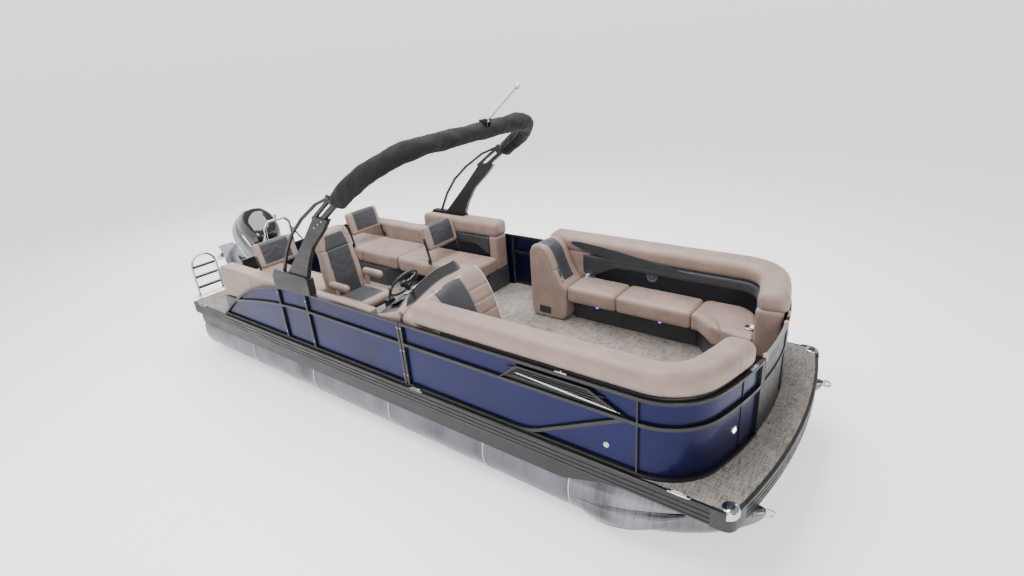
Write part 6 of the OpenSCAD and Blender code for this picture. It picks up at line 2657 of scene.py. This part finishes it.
    def propeller(self) -> None:
        """Hub with three skewed, cupped blades."""
        hub = turned(
            [
                [0.001, -0.512], [0.030, -0.511], [0.044, -0.50], [0.050, -0.46], [0.052, -0.405],
                [0.001, -0.403]
            ],
            (self.steer_x, 0, self.prop_z), (1, 0, 0), 40
        )
        radius = np.linspace(0.040, 0.178, 26)
        share = (radius - 0.040) / 0.138
        chord = 0.150 * np.sqrt(np.clip(1 - (share - 0.42) ** 2 / 0.37, 0.004, 1))
        pitch = np.arctan2(0.075, radius + 0.03)
        edge = np.linspace(0, 2 * math.pi, 33)[:-1]
        blades = []
        for turn in (0, 2 * math.pi / 3, 4 * math.pi / 3):
            along = 0.5 * chord[:, None] * np.cos(edge)[None, :]
            thick = (
                0.0055 * (1 - 0.6 * share)
            )[:, None] * np.sin(edge)[None, :] + 0.0035 * (np.cos(edge)[None, :] ** 2)
            swing = along * np.cos(pitch)[:, None] + 0.03 * (share**2)[:, None]
            deep = -along * np.sin(pitch)[:, None] + thick
            angle = turn + swing / radius[:, None]
            x = self.steer_x - 0.458 - deep
            y = radius[:, None] * np.cos(angle)
            z = self.prop_z + radius[:, None] * np.sin(angle)
            blades.append(lattice(np.stack([x, y, z], -1)).outward())
        whole = join([p.mapped(self.tilted).outward() for p in (hub, *blades)])
        Piece("outboard_propeller", whole, (PROP_METAL,), body="propeller", stands_for=("propeller",)).build()

    def build(self) -> None:
        """Makes the engine and carries its brackets."""
        self.cowl()
        self.leg()
        self.propeller()
        soften("clamp_bracket", CASTING, 4 * MM)
        soften("swivel_bracket", CASTING, 4 * MM)


# ---------------------------------------------------------------- studio


@dataclass
class Studio:
    """Pale floor, soft lights and the camera."""

    at: tuple[float, float, float] = (7.997, -4.369, 3.002)
    yaw: float = 128.32
    pitch: float = -23.305
    roll: float = -4.526
    focal_px: float = 582.9
    frame_px: float = 1024.0
    floor_glow: float = 0.8

    def camera(self) -> None:
        """Wide camera off the starboard bow, a little over eye height."""
        y, p, r = (math.radians(v) for v in (self.yaw, self.pitch, self.roll))
        ahead = np.array([math.cos(p) * math.cos(y), math.cos(p) * math.sin(y), math.sin(p)])
        right = unit(np.cross(ahead, [0, 0, 1]))
        up = np.cross(right, ahead)
        right, up = math.cos(r) * right + math.sin(r) * up, -math.sin(r) * right + math.cos(r) * up
        data = bpy.data.cameras.new("camera")
        data.sensor_width = 36.0
        data.lens = 36.0 * self.focal_px / self.frame_px
        data.clip_end = 200.0
        camera = bpy.data.objects.new("camera", data)
        turn = Matrix(np.column_stack([right, up, -ahead]).tolist()).to_4x4()
        camera.matrix_world = Matrix.Translation(Vector(np.array(self.at) + DATUM)) @ turn
        bpy.context.scene.collection.objects.link(camera)
        bpy.context.scene.camera = camera

    def light(
        self, name: str, at: tuple[float, float, float], size: tuple[float, float], power: float,
        towards: tuple[float, float, float] = (0, 0, 0.6)
    ) -> None:
        """Large soft rectangular light looking at a point."""
        data = bpy.data.lights.new(name, "AREA")
        data.shape = "RECTANGLE"
        data.size, data.size_y = size
        data.energy = power
        lamp = bpy.data.objects.new(name, data)
        way = Vector(towards) - Vector(at)
        lamp.matrix_world = Matrix.Translation(Vector(at)) @ way.to_track_quat("-Z", "Y").to_matrix().to_4x4()
        bpy.context.scene.collection.objects.link(lamp)

    def floor(self) -> None:
        """Pale floor that curves up into a far wall all round."""
        angle = np.linspace(0, 2 * math.pi, 97)[:-1]
        rows = [(0.0001, 0), (8, 0), (22, 0), (30, 0.4), (36, 3), (39, 8), (40, 16)]
        points = np.array([[[r * math.cos(a), r * math.sin(a), z - 0.0005] for a in angle] for r, z in rows])
        shape = lattice(points, capped=False)
        mesh = bpy.data.meshes.new("floor")
        mesh.from_pydata(
            shape.points.tolist(), [], [row for corners, _ in shape.faces for row in corners.tolist()]
        )
        mesh.materials.append(
            LampLens("studio_paint", "#f4f4f3", 0.8, glow="#ffffff", power=self.floor_glow).material()
        )
        mesh.polygons.foreach_set("use_smooth", np.ones(len(mesh.polygons), bool))
        floor = bpy.data.objects.new("floor", mesh)
        bpy.context.scene.collection.objects.link(floor)

    def world(self) -> None:
        """Even white surroundings."""
        world = bpy.data.worlds.new("studio")
        world.use_nodes = True
        back = world.node_tree.nodes["Background"]
        back.inputs["Color"].default_value = (1.0, 1.0, 1.0, 1.0)
        back.inputs["Strength"].default_value = 0.5
        bpy.context.scene.world = world

    def build(self) -> None:
        """Sets the studio up."""
        self.floor()
        self.world()
        self.light("overhead", (0.5, 0.0, 7.5), (11.0, 6.0), 1500)
        self.light("key", (9.0, -6.5, 6.5), (4.0, 3.0), 420)
        self.light("stern_fill", (-9.0, 3.0, 5.0), (4.0, 3.0), 260)
        self.camera()


# ---------------------------------------------------------------- whole boat


def main() -> None:
    """Builds the boat part by part, then the studio."""
    logging.basicConfig(level=logging.INFO, format="%(message)s")
    assemblies = {
        "hull": Hull(),
        "fence": Fence(),
        "starboard bow lounge": BowLounge(Side.STARBOARD),
        "port bow lounge": BowLounge(Side.PORT),
        "port chaise": PortChaise(),
        "stern lounge": SternLounge(),
        "helm": Helm(),
        "arch": Arch(),
        "stern gear": SternGear(),
        "outboard": Outboard(),
        "studio": Studio(),
    }
    for name, assembly in assemblies.items():
        LOG.info("building %s", name)
        assembly.build()


if __name__ == "__main__":
    main()
